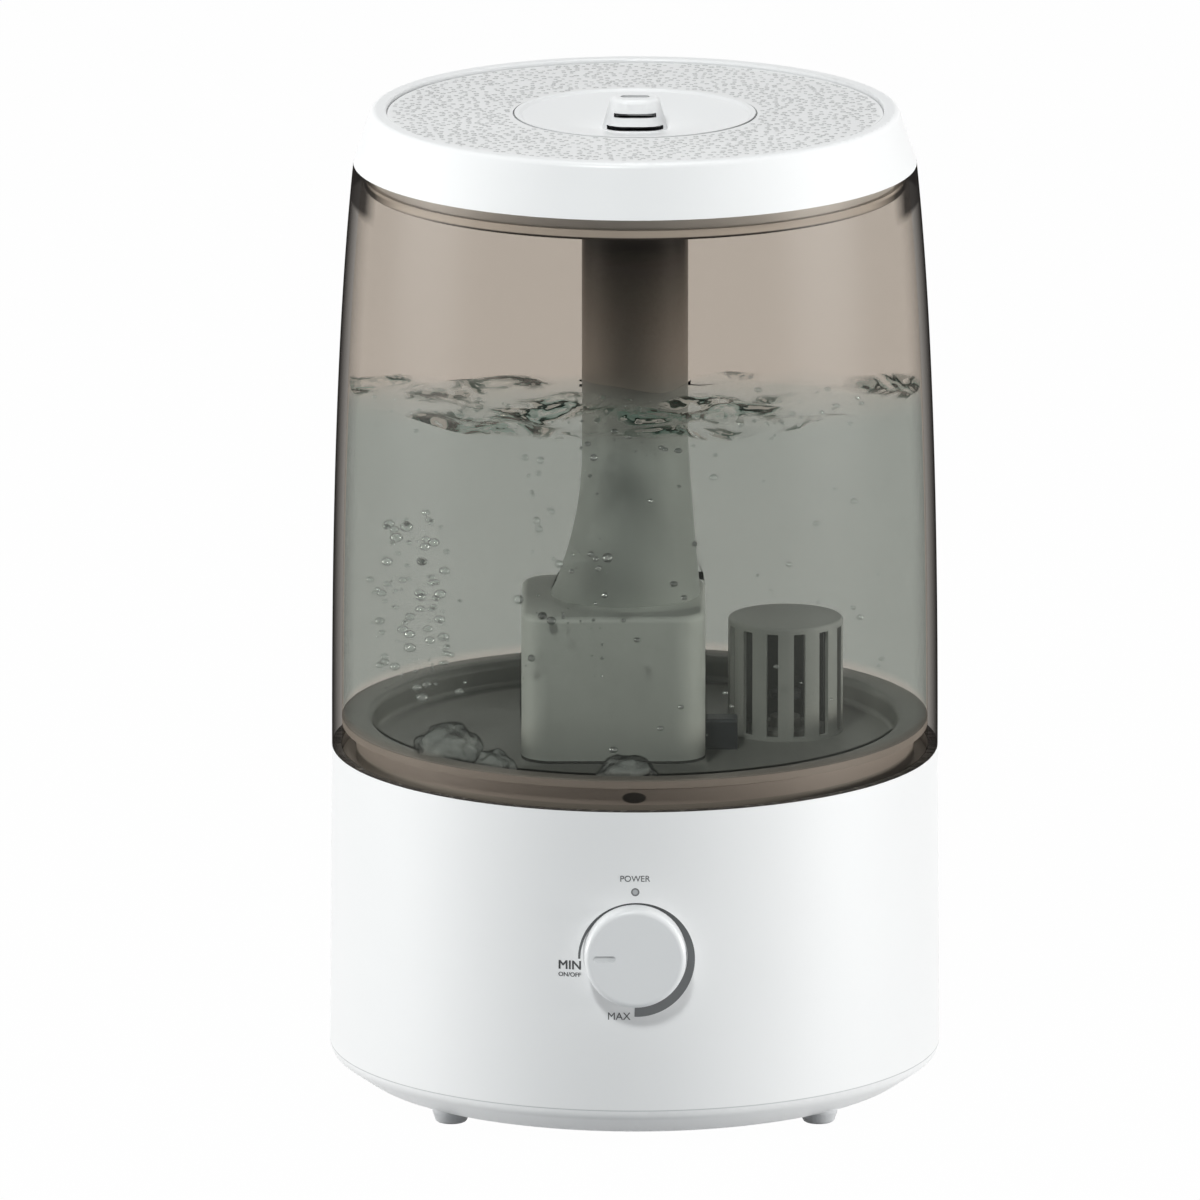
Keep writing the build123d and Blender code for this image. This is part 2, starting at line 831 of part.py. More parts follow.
def transducer_lead():
    x, y = plug_points["transducer"]
    z = (transducer_low() + plug_top) / 2
    return lead([(well_x, well_y, disc_low()), (well_x, well_y, z), (x, y, z - lead_step / 2),
                 (x, y, plug_top)])


def control_lead():
    x, y = plug_points["control"]
    start = -control_board_back
    z = control_board_top - 6 * lead_step
    plug_face = y - connector_width / 2
    return lead([(lead_step, start, z), (lead_step, start + 3 * lead_step, z),
                 (x - lead_step, y - 3.5 * lead_step, plug_mid + lead_step),
                 (x, plug_face - 1.75 * lead_step, plug_mid), (x, plug_face, plug_mid)])


# ---- tank ----
def tank_curve(inset):
    low = (tank_radius_low - inset, z_seam)
    bend = (tank_radius_low - inset, z_seam + tank_bulge)
    high = (tank_radius_high - inset, z_rim)
    return Bezier(low, bend, high)


def tank_shell():
    outer = tank_curve(0)
    inner = tank_curve(tank_wall)
    outline = make_face([outer, Line(outer @ 1, inner @ 1), inner, Line(inner @ 0, outer @ 0)])
    return revolve(Plane.XZ * outline, Axis.Z)


def tank_pan():
    wall = tank_radius_low - tank_wall
    pan = turned([
        (0, pan_under), (pan_radius, pan_under), (pan_radius, hump_under), (wall - 0.05, hump_under),
        (wall - 0.05, hump_top), (pan_radius - pan_thickness, hump_top),
        (pan_radius - pan_thickness, pan_top), (0, pan_top)], [(5, 1.9), (1, 1.0), (6, 1.5)])
    pan -= oblong(chamber_width - 2 * chamber_wall, chamber_depth - 2 * chamber_wall,
                  chamber_corner - chamber_wall, pan_under, pan_top, chamber_x, chamber_y)
    pan -= disc(outlet_radius, pan_under, pan_top, cage_x, cage_y)
    return pan


def chamber_seal():
    top = pan_top + gasket_thickness
    seal = oblong(chamber_width, chamber_depth, chamber_corner, pan_top, top, chamber_x, chamber_y)
    return seal - oblong(chamber_width - 2 * chamber_wall, chamber_depth - 2 * chamber_wall,
                         chamber_corner - chamber_wall, pan_top, top, chamber_x, chamber_y)


def mist_chamber():
    low = pan_top + gasket_thickness
    inner_width = chamber_width - 2 * chamber_wall
    inner_depth = chamber_depth - 2 * chamber_wall
    inner_corner = chamber_corner - chamber_wall
    body = oblong(chamber_width, chamber_depth, chamber_corner, low, chamber_top, chamber_x, chamber_y)
    body = fillet(body.edges().group_by(Axis.Z)[-1], 1.8)
    body -= oblong(inner_width, inner_depth, inner_corner, low, chamber_top - chamber_wall,
                   chamber_x, chamber_y)
    lip = oblong(inner_width, inner_depth, inner_corner, pan_under, low + 4, chamber_x, chamber_y)
    lip -= oblong(inner_width - 2 * chamber_lip, inner_depth - 2 * chamber_lip,
                  inner_corner - chamber_lip, pan_under, low + 4, chamber_x, chamber_y)
    body += lip
    foot = oval(tube_foot_radius_x - tube_wall, tube_foot_radius_y - tube_wall,
                chamber_top - chamber_wall, tube_foot_x)
    return body - extrude(foot, chamber_wall)


def flared(inset):
    """Tube with a foot that widens into the chamber's outline, offset inwards."""
    flare_top = chamber_top + tube_flare
    sections = [
        oval(tube_foot_radius_x - inset, tube_foot_radius_y - inset, chamber_top, tube_foot_x),
        oval(tube_waist_radius - inset, tube_waist_radius - inset - 0.2,
             chamber_top + tube_waist_rise, tube_waist_x),
        Pos(0, 0, flare_top) * Circle(tube_radius - inset),
    ]
    return loft(sections) + disc(tube_radius - inset, flare_top, tube_end)


def mist_tube():
    body = flared(0) - flared(tube_wall)
    spigot_x = tube_foot_radius_x - tube_wall
    spigot_y = tube_foot_radius_y - tube_wall
    low = chamber_top - tube_spigot
    spigot = extrude(oval(spigot_x, spigot_y, low, tube_foot_x), tube_spigot + 1.0)
    spigot -= extrude(oval(spigot_x - 1.6, spigot_y - 1.6, low, tube_foot_x), tube_spigot + 1.0)
    return body + spigot


def chamber_clip():
    x = chamber_x + chamber_width / 2 + clip_length / 2
    y = cage_y - cage_radius - clip_width / 2 - 0.5
    clip = block(clip_length, clip_width, pan_top, pan_top + clip_height, x, y)
    return fillet(clip.edges().group_by(Axis.Z)[-1], 1.0)


def valve_cage():
    top = z_seam + cage_height
    cage = disc(cage_radius, pan_top, top, cage_x, cage_y)
    cage = fillet(cage.edges().group_by(Axis.Z)[-1], 0.8)
    cage -= disc(cage_radius - cage_wall, pan_top, top - cage_top, cage_x, cage_y)
    low = pan_top + cage_foot
    high = top - cage_top
    for index in range(cage_slots):
        turn = Pos(cage_x, cage_y, low) * Rot(0, 0, 360.0 * index / cage_slots + 90)
        slot = turn * Pos(cage_radius - cage_wall / 2, 0, 0)
        cage -= slot * Box(3 * cage_wall, cage_slot_width, high - low, align=LOW)
    return cage


def valve_guide():
    bore = stem_radius + rest_gap
    hub = bore + guide_hub_wall
    guide = ring(outlet_radius, outlet_radius - guide_wall, pan_under, pan_top, cage_x, cage_y)
    guide += ring(guide_flange, outlet_radius - guide_wall, pan_top, pan_top + 1.5, cage_x, cage_y)
    for angle in (0, 120, 240):
        arm = Pos(cage_x, cage_y, pan_under) * Rot(0, 0, angle) * Pos(outlet_radius / 2, 0, 0)
        guide += arm * Box(outlet_radius - 0.8, 1.4, pan_thickness + 1.5, align=LOW)
    guide += disc(hub, pan_under, pan_under + guide_rise, cage_x, cage_y)
    return guide - disc(bore, pan_under, pan_under + guide_rise, cage_x, cage_y)


# ---- float valve ----
washer_top = pan_under - rest_gap
washer_low = washer_top - washer_thickness
stop_low = pan_under + guide_rise + valve_travel + rest_gap
valve_float_top = pan_under - valve_float_drop


def valve_stem():
    low = valve_float_top - valve_float_height
    stem = disc(stem_radius, low, stop_low + stop_thickness + 0.8, cage_x, cage_y)
    return stem + disc(2.4 * stem_radius, valve_float_top, washer_low, cage_x, cage_y)


def valve_washer():
    return ring(washer_radius, stem_radius, washer_low, washer_top, cage_x, cage_y)


def valve_float():
    body = ring(valve_float_radius, stem_radius, valve_float_top - valve_float_height,
                valve_float_top, cage_x, cage_y)
    return fillet(body.edges().filter_by(GeomType.CIRCLE).sort_by(SortBy.RADIUS)[-2:], 1.5)


def valve_stop():
    return ring(stop_radius, stem_radius, stop_low, stop_low + stop_thickness, cage_x, cage_y)


# ---- lid ----
def lid_shell():
    inlay_radius = lid_radius_top - rim_width
    skirt_radius = tank_bore_top - skirt_gap
    skirt_bore = skirt_radius - skirt_wall
    slope = (tank_radius_high - lid_radius_top) / lid_height
    return turned([
        (tank_radius_high, z_rim), (lid_radius_top, z_lid), (inlay_radius, z_lid),
        (inlay_radius, inlay_seat), (hub_radius, inlay_seat), (hub_radius, lid_plate_low),
        (skirt_bore, lid_plate_low), (skirt_bore, z_rim - skirt_depth),
        (skirt_radius, z_rim - skirt_depth), (skirt_radius, z_rim + lid_groove),
        (tank_bore_top - rest_gap - slope * lid_groove / 2, z_rim + lid_groove), (tank_bore_top, z_rim)],
        [(1, lid_edge_round), (2, 0.7)])


def lid_inlay():
    radius = lid_radius_top - rim_width - leaf
    return ring(radius, nozzle_radius + nozzle_gap, inlay_seat, inlay_seat + inlay_thickness)


def lid_seal():
    skirt_radius = tank_bore_top - skirt_gap
    low = z_rim - skirt_depth - 1.4
    seal = ring(tank_bore_top - rest_gap, skirt_radius - skirt_wall - 0.6, low, low + seal_band)
    return seal - ring(skirt_radius, skirt_radius - skirt_wall, z_rim - skirt_depth, low + seal_band)


def mist_nozzle():
    top = inlay_seat + nozzle_plate + leaf
    seat = inlay_seat + leaf
    hub = hub_radius - rest_gap
    dish = z_lid - inlay_drop - dish_depth
    plate = nozzle_plate
    body = turned([
        (nozzle_radius, seat), (nozzle_radius, top), (nozzle_radius - 1.2, top),
        (nozzle_radius - 2.2, top - 0.6), (dish_flat, dish), (0, dish), (0, dish - plate),
        (dish_flat, dish - plate), (hub - hub_wall, top - plate - 1.1), (hub - hub_wall, seat - hub_drop),
        (hub, seat - hub_drop), (hub, seat)])
    spout = spout_form(0, dish - plate / 2, spout_top)
    spout = fillet(spout.edges().group_by(Axis.Z)[-1], 1.6)
    body += spout
    body -= spout_form(spout_wall, dish - plate, spout_top - spout_wall)
    front = -spout_depth / 2 - 2
    reach = spout_depth / 2
    for width, height in ((low_slot_width, z_lid - low_slot_drop), (high_slot_width, z_lid - high_slot_drop)):
        body -= Pos(0, front + reach / 2, height) * Box(width, reach, spout_slot)
    body -= oblong(top_slot_width, top_slot_depth, 1.4, spout_top - 2 * spout_wall, spout_top)
    return body


def spout_form(inset, low, high):
    """Tapered spout between two heights, drawn in by inset."""
    base = z_lid - inlay_drop - dish_depth

    def section(height):
        share = (height - base) / (spout_top - base)
        width = spout_width + share * (spout_top_width - spout_width) - 2 * inset
        depth = spout_depth + share * (spout_top_depth - spout_depth) - 2 * inset
        return Pos(0, 0, height) * RectangleRounded(width, depth, depth * 0.42)

    return loft([section(low), section(high)])


def nozzle_retainer():
    high = lid_plate_low - rest_gap
    hub = hub_radius - rest_gap
    return ring(hub + 1.7, hub, high - 1.4, high)


def mist_funnel():
    top = lid_plate_low
    flange_in = hub_radius + 2.6
    spigot = tube_radius - tube_wall - lift_gap
    shoulder = tube_end + funnel_wall
    outer = tube_radius + 1.6
    return turned([
        (flange_in, top), (flange_in + funnel_flange, top), (flange_in + funnel_flange, top - funnel_wall),
        (flange_in + 1.0, top - funnel_wall), (outer, shoulder + 0.6), (outer, shoulder),
        (spigot, shoulder), (spigot, tube_end - funnel_spigot), (spigot - 1.5, tube_end - funnel_spigot),
        (spigot - 1.5, shoulder + funnel_wall), (outer - 1.2, shoulder + funnel_wall),
        (flange_in - 0.6, top - funnel_wall * 0.9)])


def tube_seal():
    spigot = tube_radius - tube_wall - lift_gap
    return ring(tube_radius + 1.2, spigot, tube_end, tube_end + funnel_wall)


parts = {
    "base_shell": base_shell, "bottom_cover": bottom_cover, "rubber_feet": rubber_feet,
    "cover_screws": cover_screws, "base_basin": base_basin, "transducer_disc": transducer_disc,
    "transducer_seal": transducer_seal, "transducer_clamp": transducer_clamp,
    "transducer_screws": transducer_screws, "air_duct": air_duct, "fan_frame": fan_frame,
    "fan_stator": fan_stator, "fan_rotor": fan_rotor, "fan_screws": fan_screws,
    "float_retainer": float_retainer, "level_float": level_float, "float_magnet": float_magnet,
    "reed_switch": reed_switch, "control_knob": control_knob,
    "potentiometer_shaft": potentiometer_shaft, "potentiometer_body": potentiometer_body,
    "potentiometer_nut": potentiometer_nut, "control_board": control_board,
    "power_led": power_led, "light_pipe": light_pipe, "dc_jack": dc_jack,
    "dc_jack_pin": dc_jack_pin, "dc_jack_nut": dc_jack_nut, "driver_board": driver_board,
    "board_screws": board_screws, "heat_sink": heat_sink, "board_capacitors": board_capacitors,
    "board_inductor": board_inductor, "board_connectors": board_connectors,
    "power_lead": power_lead, "fan_lead": fan_lead, "transducer_lead": transducer_lead,
    "control_lead": control_lead, "tank_shell": tank_shell, "tank_pan": tank_pan,
    "chamber_seal": chamber_seal, "mist_chamber": mist_chamber, "mist_tube": mist_tube,
    "chamber_clip": chamber_clip, "valve_cage": valve_cage, "valve_guide": valve_guide,
    "valve_stem": valve_stem, "valve_washer": valve_washer, "valve_float": valve_float,
    "valve_stop": valve_stop, "lid_shell": lid_shell, "lid_inlay": lid_inlay,
    "lid_seal": lid_seal, "mist_nozzle": mist_nozzle, "nozzle_retainer": nozzle_retainer,
    "mist_funnel": mist_funnel, "tube_seal": tube_seal,
}

os.makedirs("parts", exist_ok=True)
for name, make in parts.items():
    export_step(make(), f"parts/{name}.step")
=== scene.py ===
# %% [markdown]
# # A top-filled cool mist humidifier
# This lesson dresses an engineering model. The model already holds every solid at its real
# size, so the work here is finish and fine detail: moulded plastic, smoked clear plastic,
# water, print and fastenings. Each step says what a thing is on the real object, how it
# could be made, and why one way was chosen.

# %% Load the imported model
import bmesh
import bpy
import json
import math
from functools import partialmethod
from mathutils import Matrix, Vector, noise

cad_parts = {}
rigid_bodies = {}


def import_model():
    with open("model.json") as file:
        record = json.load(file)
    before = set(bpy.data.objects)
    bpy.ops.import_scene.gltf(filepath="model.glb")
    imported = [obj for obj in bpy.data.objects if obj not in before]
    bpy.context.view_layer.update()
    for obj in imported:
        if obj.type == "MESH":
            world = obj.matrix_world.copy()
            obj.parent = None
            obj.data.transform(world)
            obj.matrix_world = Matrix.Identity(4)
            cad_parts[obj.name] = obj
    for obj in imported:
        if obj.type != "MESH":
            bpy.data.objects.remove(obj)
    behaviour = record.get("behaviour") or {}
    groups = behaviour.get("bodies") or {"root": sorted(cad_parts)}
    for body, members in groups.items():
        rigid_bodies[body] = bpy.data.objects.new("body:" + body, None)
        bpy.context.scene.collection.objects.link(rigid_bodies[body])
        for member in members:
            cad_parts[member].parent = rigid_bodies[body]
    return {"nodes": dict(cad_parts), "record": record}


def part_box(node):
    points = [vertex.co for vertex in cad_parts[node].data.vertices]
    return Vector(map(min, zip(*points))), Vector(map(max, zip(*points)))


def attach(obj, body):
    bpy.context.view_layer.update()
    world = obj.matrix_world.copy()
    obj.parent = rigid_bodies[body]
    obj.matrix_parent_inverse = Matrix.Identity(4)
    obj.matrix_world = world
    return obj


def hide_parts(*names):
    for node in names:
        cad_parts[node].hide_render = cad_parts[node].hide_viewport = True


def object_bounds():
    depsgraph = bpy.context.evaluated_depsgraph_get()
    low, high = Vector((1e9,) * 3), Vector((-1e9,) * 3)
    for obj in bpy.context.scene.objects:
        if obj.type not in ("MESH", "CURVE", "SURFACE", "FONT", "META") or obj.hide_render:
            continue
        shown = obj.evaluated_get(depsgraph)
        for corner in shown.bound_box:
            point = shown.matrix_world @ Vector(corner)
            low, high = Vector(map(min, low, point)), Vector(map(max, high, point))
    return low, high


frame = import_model()
for thing in list(bpy.data.objects):
    if thing.name in ("Cube", "Light", "Camera"):
        bpy.data.objects.remove(thing)
cad_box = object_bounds()
nodes = frame["nodes"]
slot_of = {part["node"]: part["material_slot"] for part in frame["record"]["subparts"]}

# %% [markdown]
# The main heights and radii come from the model's own boxes, in metres, so the dressing sits
# where the solids are. Finer distances are given in millimetres.

# %% Heights and radii
MM = 0.001
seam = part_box("base_shell")[1].z
part_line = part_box("base_shell")[0].z
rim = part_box("tank_shell")[1].z
lid_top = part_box("lid_shell")[1].z
base_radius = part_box("base_shell")[1].x
seam_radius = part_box("tank_shell")[1].x
rim_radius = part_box("lid_shell")[1].x
knob_low, knob_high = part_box("control_knob")
knob_z = (knob_low.z + knob_high.z) / 2
lamp_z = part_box("light_pipe")[1].z - 1.5 * MM
lamp_radius = 1.15 * MM
print("seam", seam, "rim", rim, "lid", lid_top, "knob", knob_z)

# %% [markdown]
# ## Trees
# A shader and a Geometry Nodes tree are built from the same kind of nodes. A small class
# wraps one output, so that a sum is written as a sum. One method adds any other node.

# %% Wires and trees
class Wire:
    """One output of a node. Arithmetic on it adds Math nodes."""

    def __init__(self, tree, socket):
        self.tree, self.socket = tree, socket

    def maths(self, operation, *others):
        return self.tree.node("ShaderNodeMath", {"operation": operation}, self, *others)

    def __rsub__(self, other):
        return self.tree.node("ShaderNodeMath", {"operation": "SUBTRACT"}, other, self)

    __add__ = __radd__ = partialmethod(maths, "ADD")
    __sub__ = partialmethod(maths, "SUBTRACT")
    __mul__ = __rmul__ = partialmethod(maths, "MULTIPLY")
    __truediv__ = partialmethod(maths, "DIVIDE")
    least = partialmethod(maths, "MINIMUM")
    most = partialmethod(maths, "MAXIMUM")
    above = partialmethod(maths, "GREATER_THAN")
    absolute = partialmethod(maths, "ABSOLUTE")

    def beside(self, key):
        """Another output of the same node."""
        return Wire(self.tree, self.socket.node.outputs[key])

    def held(self):
        """Kept between 0 and 1."""
        return self.most(0.0).least(1.0)

    def rise(self, start, end):
        """0 up to the start, rising to 1 at the end, which may be the lower of the two."""
        return ((self - start) / (end - start)).held()

    def clear_of(self, centre, width):
        """1 at a value, falling to 0 one width away on either side."""
        return (1 - (self - centre).absolute() / width).most(0.0)

    def stripe(self, centre, width, firm):
        """The same, made firmer and cut off at 1."""
        return (firm * self.clear_of(centre, width)).least(1.0)


def far(one, other):
    """Distance from an axis, from the two coordinates across it."""
    return (one * one + other * other).maths("SQRT")


def smooth(share):
    """Eases both ends of a share that runs from 0 to 1."""
    return share * share * (3 - 2 * share)


class Tree:
    """A node tree with one method that adds a node and joins its sockets."""

    def __init__(self, nodes_and_links):
        self.tree = nodes_and_links

    def join(self, value, socket):
        if isinstance(value, Wire):
            self.tree.links.new(value.socket, socket)
        else:
            socket.default_value = value

    def node(self, kind, settings=None, *values, out=0, at=None, **named):
        made = self.tree.nodes.new(kind)
        for key, value in (settings or {}).items():
            setattr(made, key, value)
        for index, value in enumerate(values):
            self.join(value, made.inputs[index])
        for index, value in (at or {}).items():
            self.join(value, made.inputs[index])
        for key, value in named.items():
            self.join(value, made.inputs[key.replace("_", " ")])
        return Wire(self, made.outputs[out])

    def mix(self, share, one, other):
        """A shader between two others."""
        return self.node("ShaderNodeMixShader", None, share, one, other)


# %% [markdown]
# ## Finishes
# Moulded plastic is never one flat colour. It has a fine spark-eroded grain, a slow drift of
# tone where it cooled, and a gloss that varies with both. A Principled shader takes the
# constant values on its own sockets; noise feeds only colour, roughness and bump. A finish
# keeps its colour so far, and each coat lays one more colour over it where a share says so.

# %% A finish
class Finish(Tree):
    """A material with one Principled shader."""

    made = {}

    def __init__(self, name, **constants):
        material = bpy.data.materials.new(name)
        material.use_nodes = True
        super().__init__(material.node_tree)
        self.material = material
        self.shader = self.tree.nodes["Principled BSDF"]
        self.set(**constants)
        Finish.made[name] = material
        print("finish", name)

    def set(self, **values):
        for key, value in values.items():
            self.join(value, self.shader.inputs[key.replace("_", " ")])

    def place(self):
        return self.node("ShaderNodeTexCoord", out=3)

    def axes(self):
        split = self.node("ShaderNodeSeparateXYZ", None, self.place())
        return [split.beside(index) for index in range(3)]

    def noise(self, scale, detail=2.0, roughness=0.5):
        return self.node("ShaderNodeTexNoise", None, Vector=self.place(), Scale=scale,
                         Detail=detail, Roughness=roughness)

    def facing(self):
        """0 where the surface faces the viewer, 1 where it turns away."""
        return self.node("ShaderNodeLayerWeight", None, 0.5, out=1)

    def coat(self, colour, share):
        """Lays a colour over the finish's own, by a share."""
        self.colour = self.node("ShaderNodeMix", {"data_type": "RGBA"}, out=2,
                                at={0: share, 6: self.colour, 7: (*colour, 1.0)})
        self.set(Base_Color=self.colour)

    def tint(self, dark, light, share):
        """Colours the finish between two tones."""
        self.colour = (*dark, 1.0)
        self.coat(light, share)

    def bump(self, height, depth, strength=1.0):
        self.set(Normal=self.node("ShaderNodeBump", None, Strength=strength, Distance=depth,
                                  Height=height))

    def principled(self):
        return Wire(self, self.shader.outputs[0])

    def show(self, shader):
        """Makes another shader the surface's own."""
        self.tree.links.new(shader.socket, self.tree.nodes["Material Output"].inputs["Surface"])


WHITE = (1.0, 1.0, 1.0, 1.0)


def shade(colour, share):
    return tuple(min(1.0, channel * share) for channel in colour)


def moulded(name, colour, roughness, grain=0.55, depth=0.012, drift=0.03, **constants):
    """Moulded plastic or rubber: grain in millimetres across, depth in millimetres."""
    finish = Finish(name, **constants)
    fine = finish.noise(1 / (grain * MM), 3.0)
    slow = finish.noise(28.0, 3.0)
    tone = (0.35 * fine + 0.65 * slow).least(1.0)
    finish.tint(shade(colour, 1 - drift), shade(colour, 1 + drift), tone)
    finish.set(Roughness=roughness + 0.10 * (fine - 0.5) + 0.08 * (slow - 0.5))
    finish.bump(fine, depth * MM)
    return finish


# %% [markdown]
# The plain finishes differ only in a few numbers, so they are a table: colour, roughness,
# grain across, grain depth and drift of tone.

# %% Plain finishes
plain = {
    "inlay": ((0.85, 0.852, 0.848), 0.48, 1.5, 0.050, 0.09),
    "dark": ((0.030, 0.034, 0.045), 0.45, 0.4, 0.010, 0.20),
    "black": ((0.018, 0.018, 0.019), 0.50, 0.6, 0.015, 0.20),
    "chamber": ((0.90, 0.915, 0.875), 0.45, 0.4, 0.008, 0.05),
    "silicone": ((0.050, 0.048, 0.046), 0.62, 0.7, 0.010, 0.15),
    "pale_silicone": ((0.62, 0.62, 0.60), 0.58, 0.7, 0.010, 0.05),
    "rubber": ((0.62, 0.63, 0.64), 0.66, 0.5, 0.020, 0.10),
    "ferrite": ((0.030, 0.028, 0.028), 0.55, 0.3, 0.030, 0.25),
    "float": ((0.74, 0.74, 0.71), 0.75, 0.9, 0.060, 0.06),
    "dark_float": ((0.045, 0.048, 0.050), 0.80, 0.9, 0.060, 0.15),
    "lead": ((0.016, 0.016, 0.018), 0.38, 1.2, 0.010, 0.20),
}
for name, values in plain.items():
    moulded(name, *values)
print("plain finishes", len(plain))

# %% [markdown]
# The white shell has a fine line where the bottom cover meets the base. On the real object it
# is a narrow gap that catches shade. The solids meet face to face, so the shade is a narrow
# band of darker colour at that height.

# %% White shell
white = moulded("white", (0.86, 0.865, 0.865), 0.36, 0.5, 0.010, 0.015)
height = white.axes()[2]
gap_shade = height.clear_of(part_line, 0.22 * MM)
white.coat((0.30, 0.31, 0.32), 0.75 * gap_shade)

# %% [markdown]
# The knob has one engraved mark. Light from above leaves the upper edge of the groove in
# shade, so that edge is darkened and the rest of the groove only slightly.

# %% Knob
knob = moulded("knob", (0.81, 0.82, 0.825), 0.34, 0.5, 0.006, 0.02)
x_wire, y_wire, z_wire = knob.axes()
groove_x = x_wire.stripe(-8.5 * MM, 3.6 * MM, 6.0)
groove_z = z_wire.stripe(knob_z, 1.1 * MM, 4.0)
groove = groove_x * groove_z * y_wire.above(knob_low.y + 0.2 * MM)
upper_edge = z_wire.clear_of(knob_z + 0.85 * MM, 0.5 * MM)
knob.coat((0.30, 0.305, 0.31), (0.15 + 0.7 * upper_edge) * groove)

# %% [markdown]
# The small spout on the lid has two slots. Their insides are in deep shade, so everything
# within the spout's rounded outline is dark at the height of each slot.

# %% Spout
spout = moulded("spout", (0.86, 0.865, 0.865), 0.36, 0.5, 0.010, 0.015)
x_wire, y_wire, z_wire = spout.axes()


def slot_shade(drop, tall, half_width, straight_x, straight_y, radius):
    """1 inside a rounded rectangle, for the height and width of one slot, in millimetres."""
    away_x = (x_wire.absolute() - straight_x * MM).most(0.0)
    away_y = (y_wire.absolute() - straight_y * MM).most(0.0)
    in_outline = 1 - far(away_x, away_y).above(radius * MM)
    in_height = z_wire.clear_of(lid_top - drop * MM, tall * MM).above(0.0)
    return in_height * x_wire.clear_of(0.0, half_width * MM).above(0.0) * in_outline


low_slot = slot_shade(drop=4.3, tall=1.2, half_width=7.85, straight_x=2.65, straight_y=1.17,
                      radius=5.7)
high_slot = slot_shade(drop=0.8, tall=1.0, half_width=5.9, straight_x=2.4, straight_y=1.0,
                       radius=4.9)
spout.coat((0.015, 0.016, 0.017), low_slot.most(high_slot))

# %% [markdown]
# The cage over the water outlet is grey. Little light gets in through its slots, so its inner
# wall is shaded.

# %% Cage
cage = moulded("cage", (0.58, 0.58, 0.56), 0.40, 0.4, 0.008, 0.06)
x_wire, y_wire, z_wire = cage.axes()
cage_low, cage_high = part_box("valve_cage")
cage_middle, cage_radius = (cage_low + cage_high) / 2, (cage_high.x - cage_low.x) / 2
reach = far(x_wire - cage_middle.x, y_wire - cage_middle.y)
CAGE_WALL, CAGE_TOP = 1.2 * MM, 1.0 * MM
inner_wall = (1 - reach.above(cage_radius - CAGE_WALL)) * (1 - z_wire.above(cage_high.z - CAGE_TOP))
cage.coat((0.085, 0.09, 0.085), inner_wall)

# %% [markdown]
# The tank's floor has a raised border. At the back, the foot of the border's inner side is darker
# with painted shade, and this fades to the sides. The floor is paler towards the left, which is
# painted light. The groove under the border lies in shade and is painted paler, so that it reads as
# one band with the border through the tank's foot, and the border has one small dark oval of
# painted shade at the front.

# %% Tank floor
pan = moulded("pan", (0.38, 0.375, 0.355), 0.42, 0.5, 0.010, 0.06)
x_wire, y_wire, z_wire = pan.axes()
reach = far(x_wire, y_wire)
BORDER_FOOT, GROOVE_IN, BORDER_OUT = 73.4 * MM, 74.0 * MM, 81.0 * MM
above_seam = z_wire.above(seam + 0.5 * MM)
at_back = y_wire.rise(-8 * MM, 32 * MM)
to_right = x_wire.rise(0.0, 70 * MM)
to_left = x_wire.rise(-35 * MM, -70 * MM)
to_side = x_wire.absolute().rise(45 * MM, 70 * MM)
corner = reach.stripe(BORDER_FOOT, 6.0 * MM, 1.8) * above_seam * at_back
corner_shade = (0.8 - 0.25 * to_right) * (1 - 0.85 * to_side) * corner
border_edge = reach.above(BORDER_OUT) * above_seam
under_border = reach.above(GROOVE_IN) * (1 - z_wire.above(seam + 6.2 * MM)) * above_seam
across = (x_wire + 0.3 * MM) / (3.6 * MM)
up = (z_wire - (seam + 2.5 * MM)) / (1.7 * MM)
oval = ((1.0 - across * across - up * up) * 3.0).held()
front_shade_oval = oval * (-77 * MM - y_wire).above(0.0)
# Painted light: the floor is paler towards the left.
pan.coat((0.58, 0.57, 0.545), 0.8 * to_left)
# Painted shade at the foot of the border's inner side, at the back, fading to the sides.
pan.coat((0.050, 0.053, 0.049), corner_shade)
# Painted light in the groove under the border, which lies in shade.
pan.coat((0.50, 0.475, 0.455), under_border)
pan.coat((0.40, 0.38, 0.36), border_edge)
# Painted shade: a small dark oval on the border's front.
pan.coat((0.020, 0.022, 0.022), front_shade_oval)

# %% [markdown]
# The tube is moulded in the same smoked plastic as the tank, but thicker. It darkens from the
# waterline up, almost to black under the lid: partly the plastic's own colour and partly painted
# shade. Below the waterline it is pale, which is painted light. Its sides, seen through less
# plastic, are painted paler.

# %% Smoked tube
tube = moulded("tube", (0.060, 0.055, 0.050), 0.45, 0.7, 0.006, 0.10, Specular_IOR_Level=0.1)
tall = tube.axes()[2]
waterline = seam + 107 * MM
up = tall.rise(waterline, waterline + 37 * MM)
down = tall.rise(waterline, waterline - 24 * MM)
grain = 0.2 * (tube.noise(1500.0, 2.0) - 0.5)
# Painted shade: darker from the waterline up towards the lid, over the plastic's own tone.
tube.tint((0.37, 0.335, 0.305), (0.014, 0.012, 0.011), (up + grain).held())
# Painted light: paler sides, where less plastic is seen through.
tube.coat((0.34, 0.30, 0.265), 0.4 * tube.facing().rise(0.62, 0.96))
# Painted light: pale below the waterline.
tube.coat((0.62, 0.64, 0.61), down)

# %% [markdown]
# The soft ring under the lid is tinted like the tank. Its lower lip carries a fine dark line of
# painted shade, darkest in the middle. At its sides, seen through most of its own thickness, the
# ring is painted almost black.

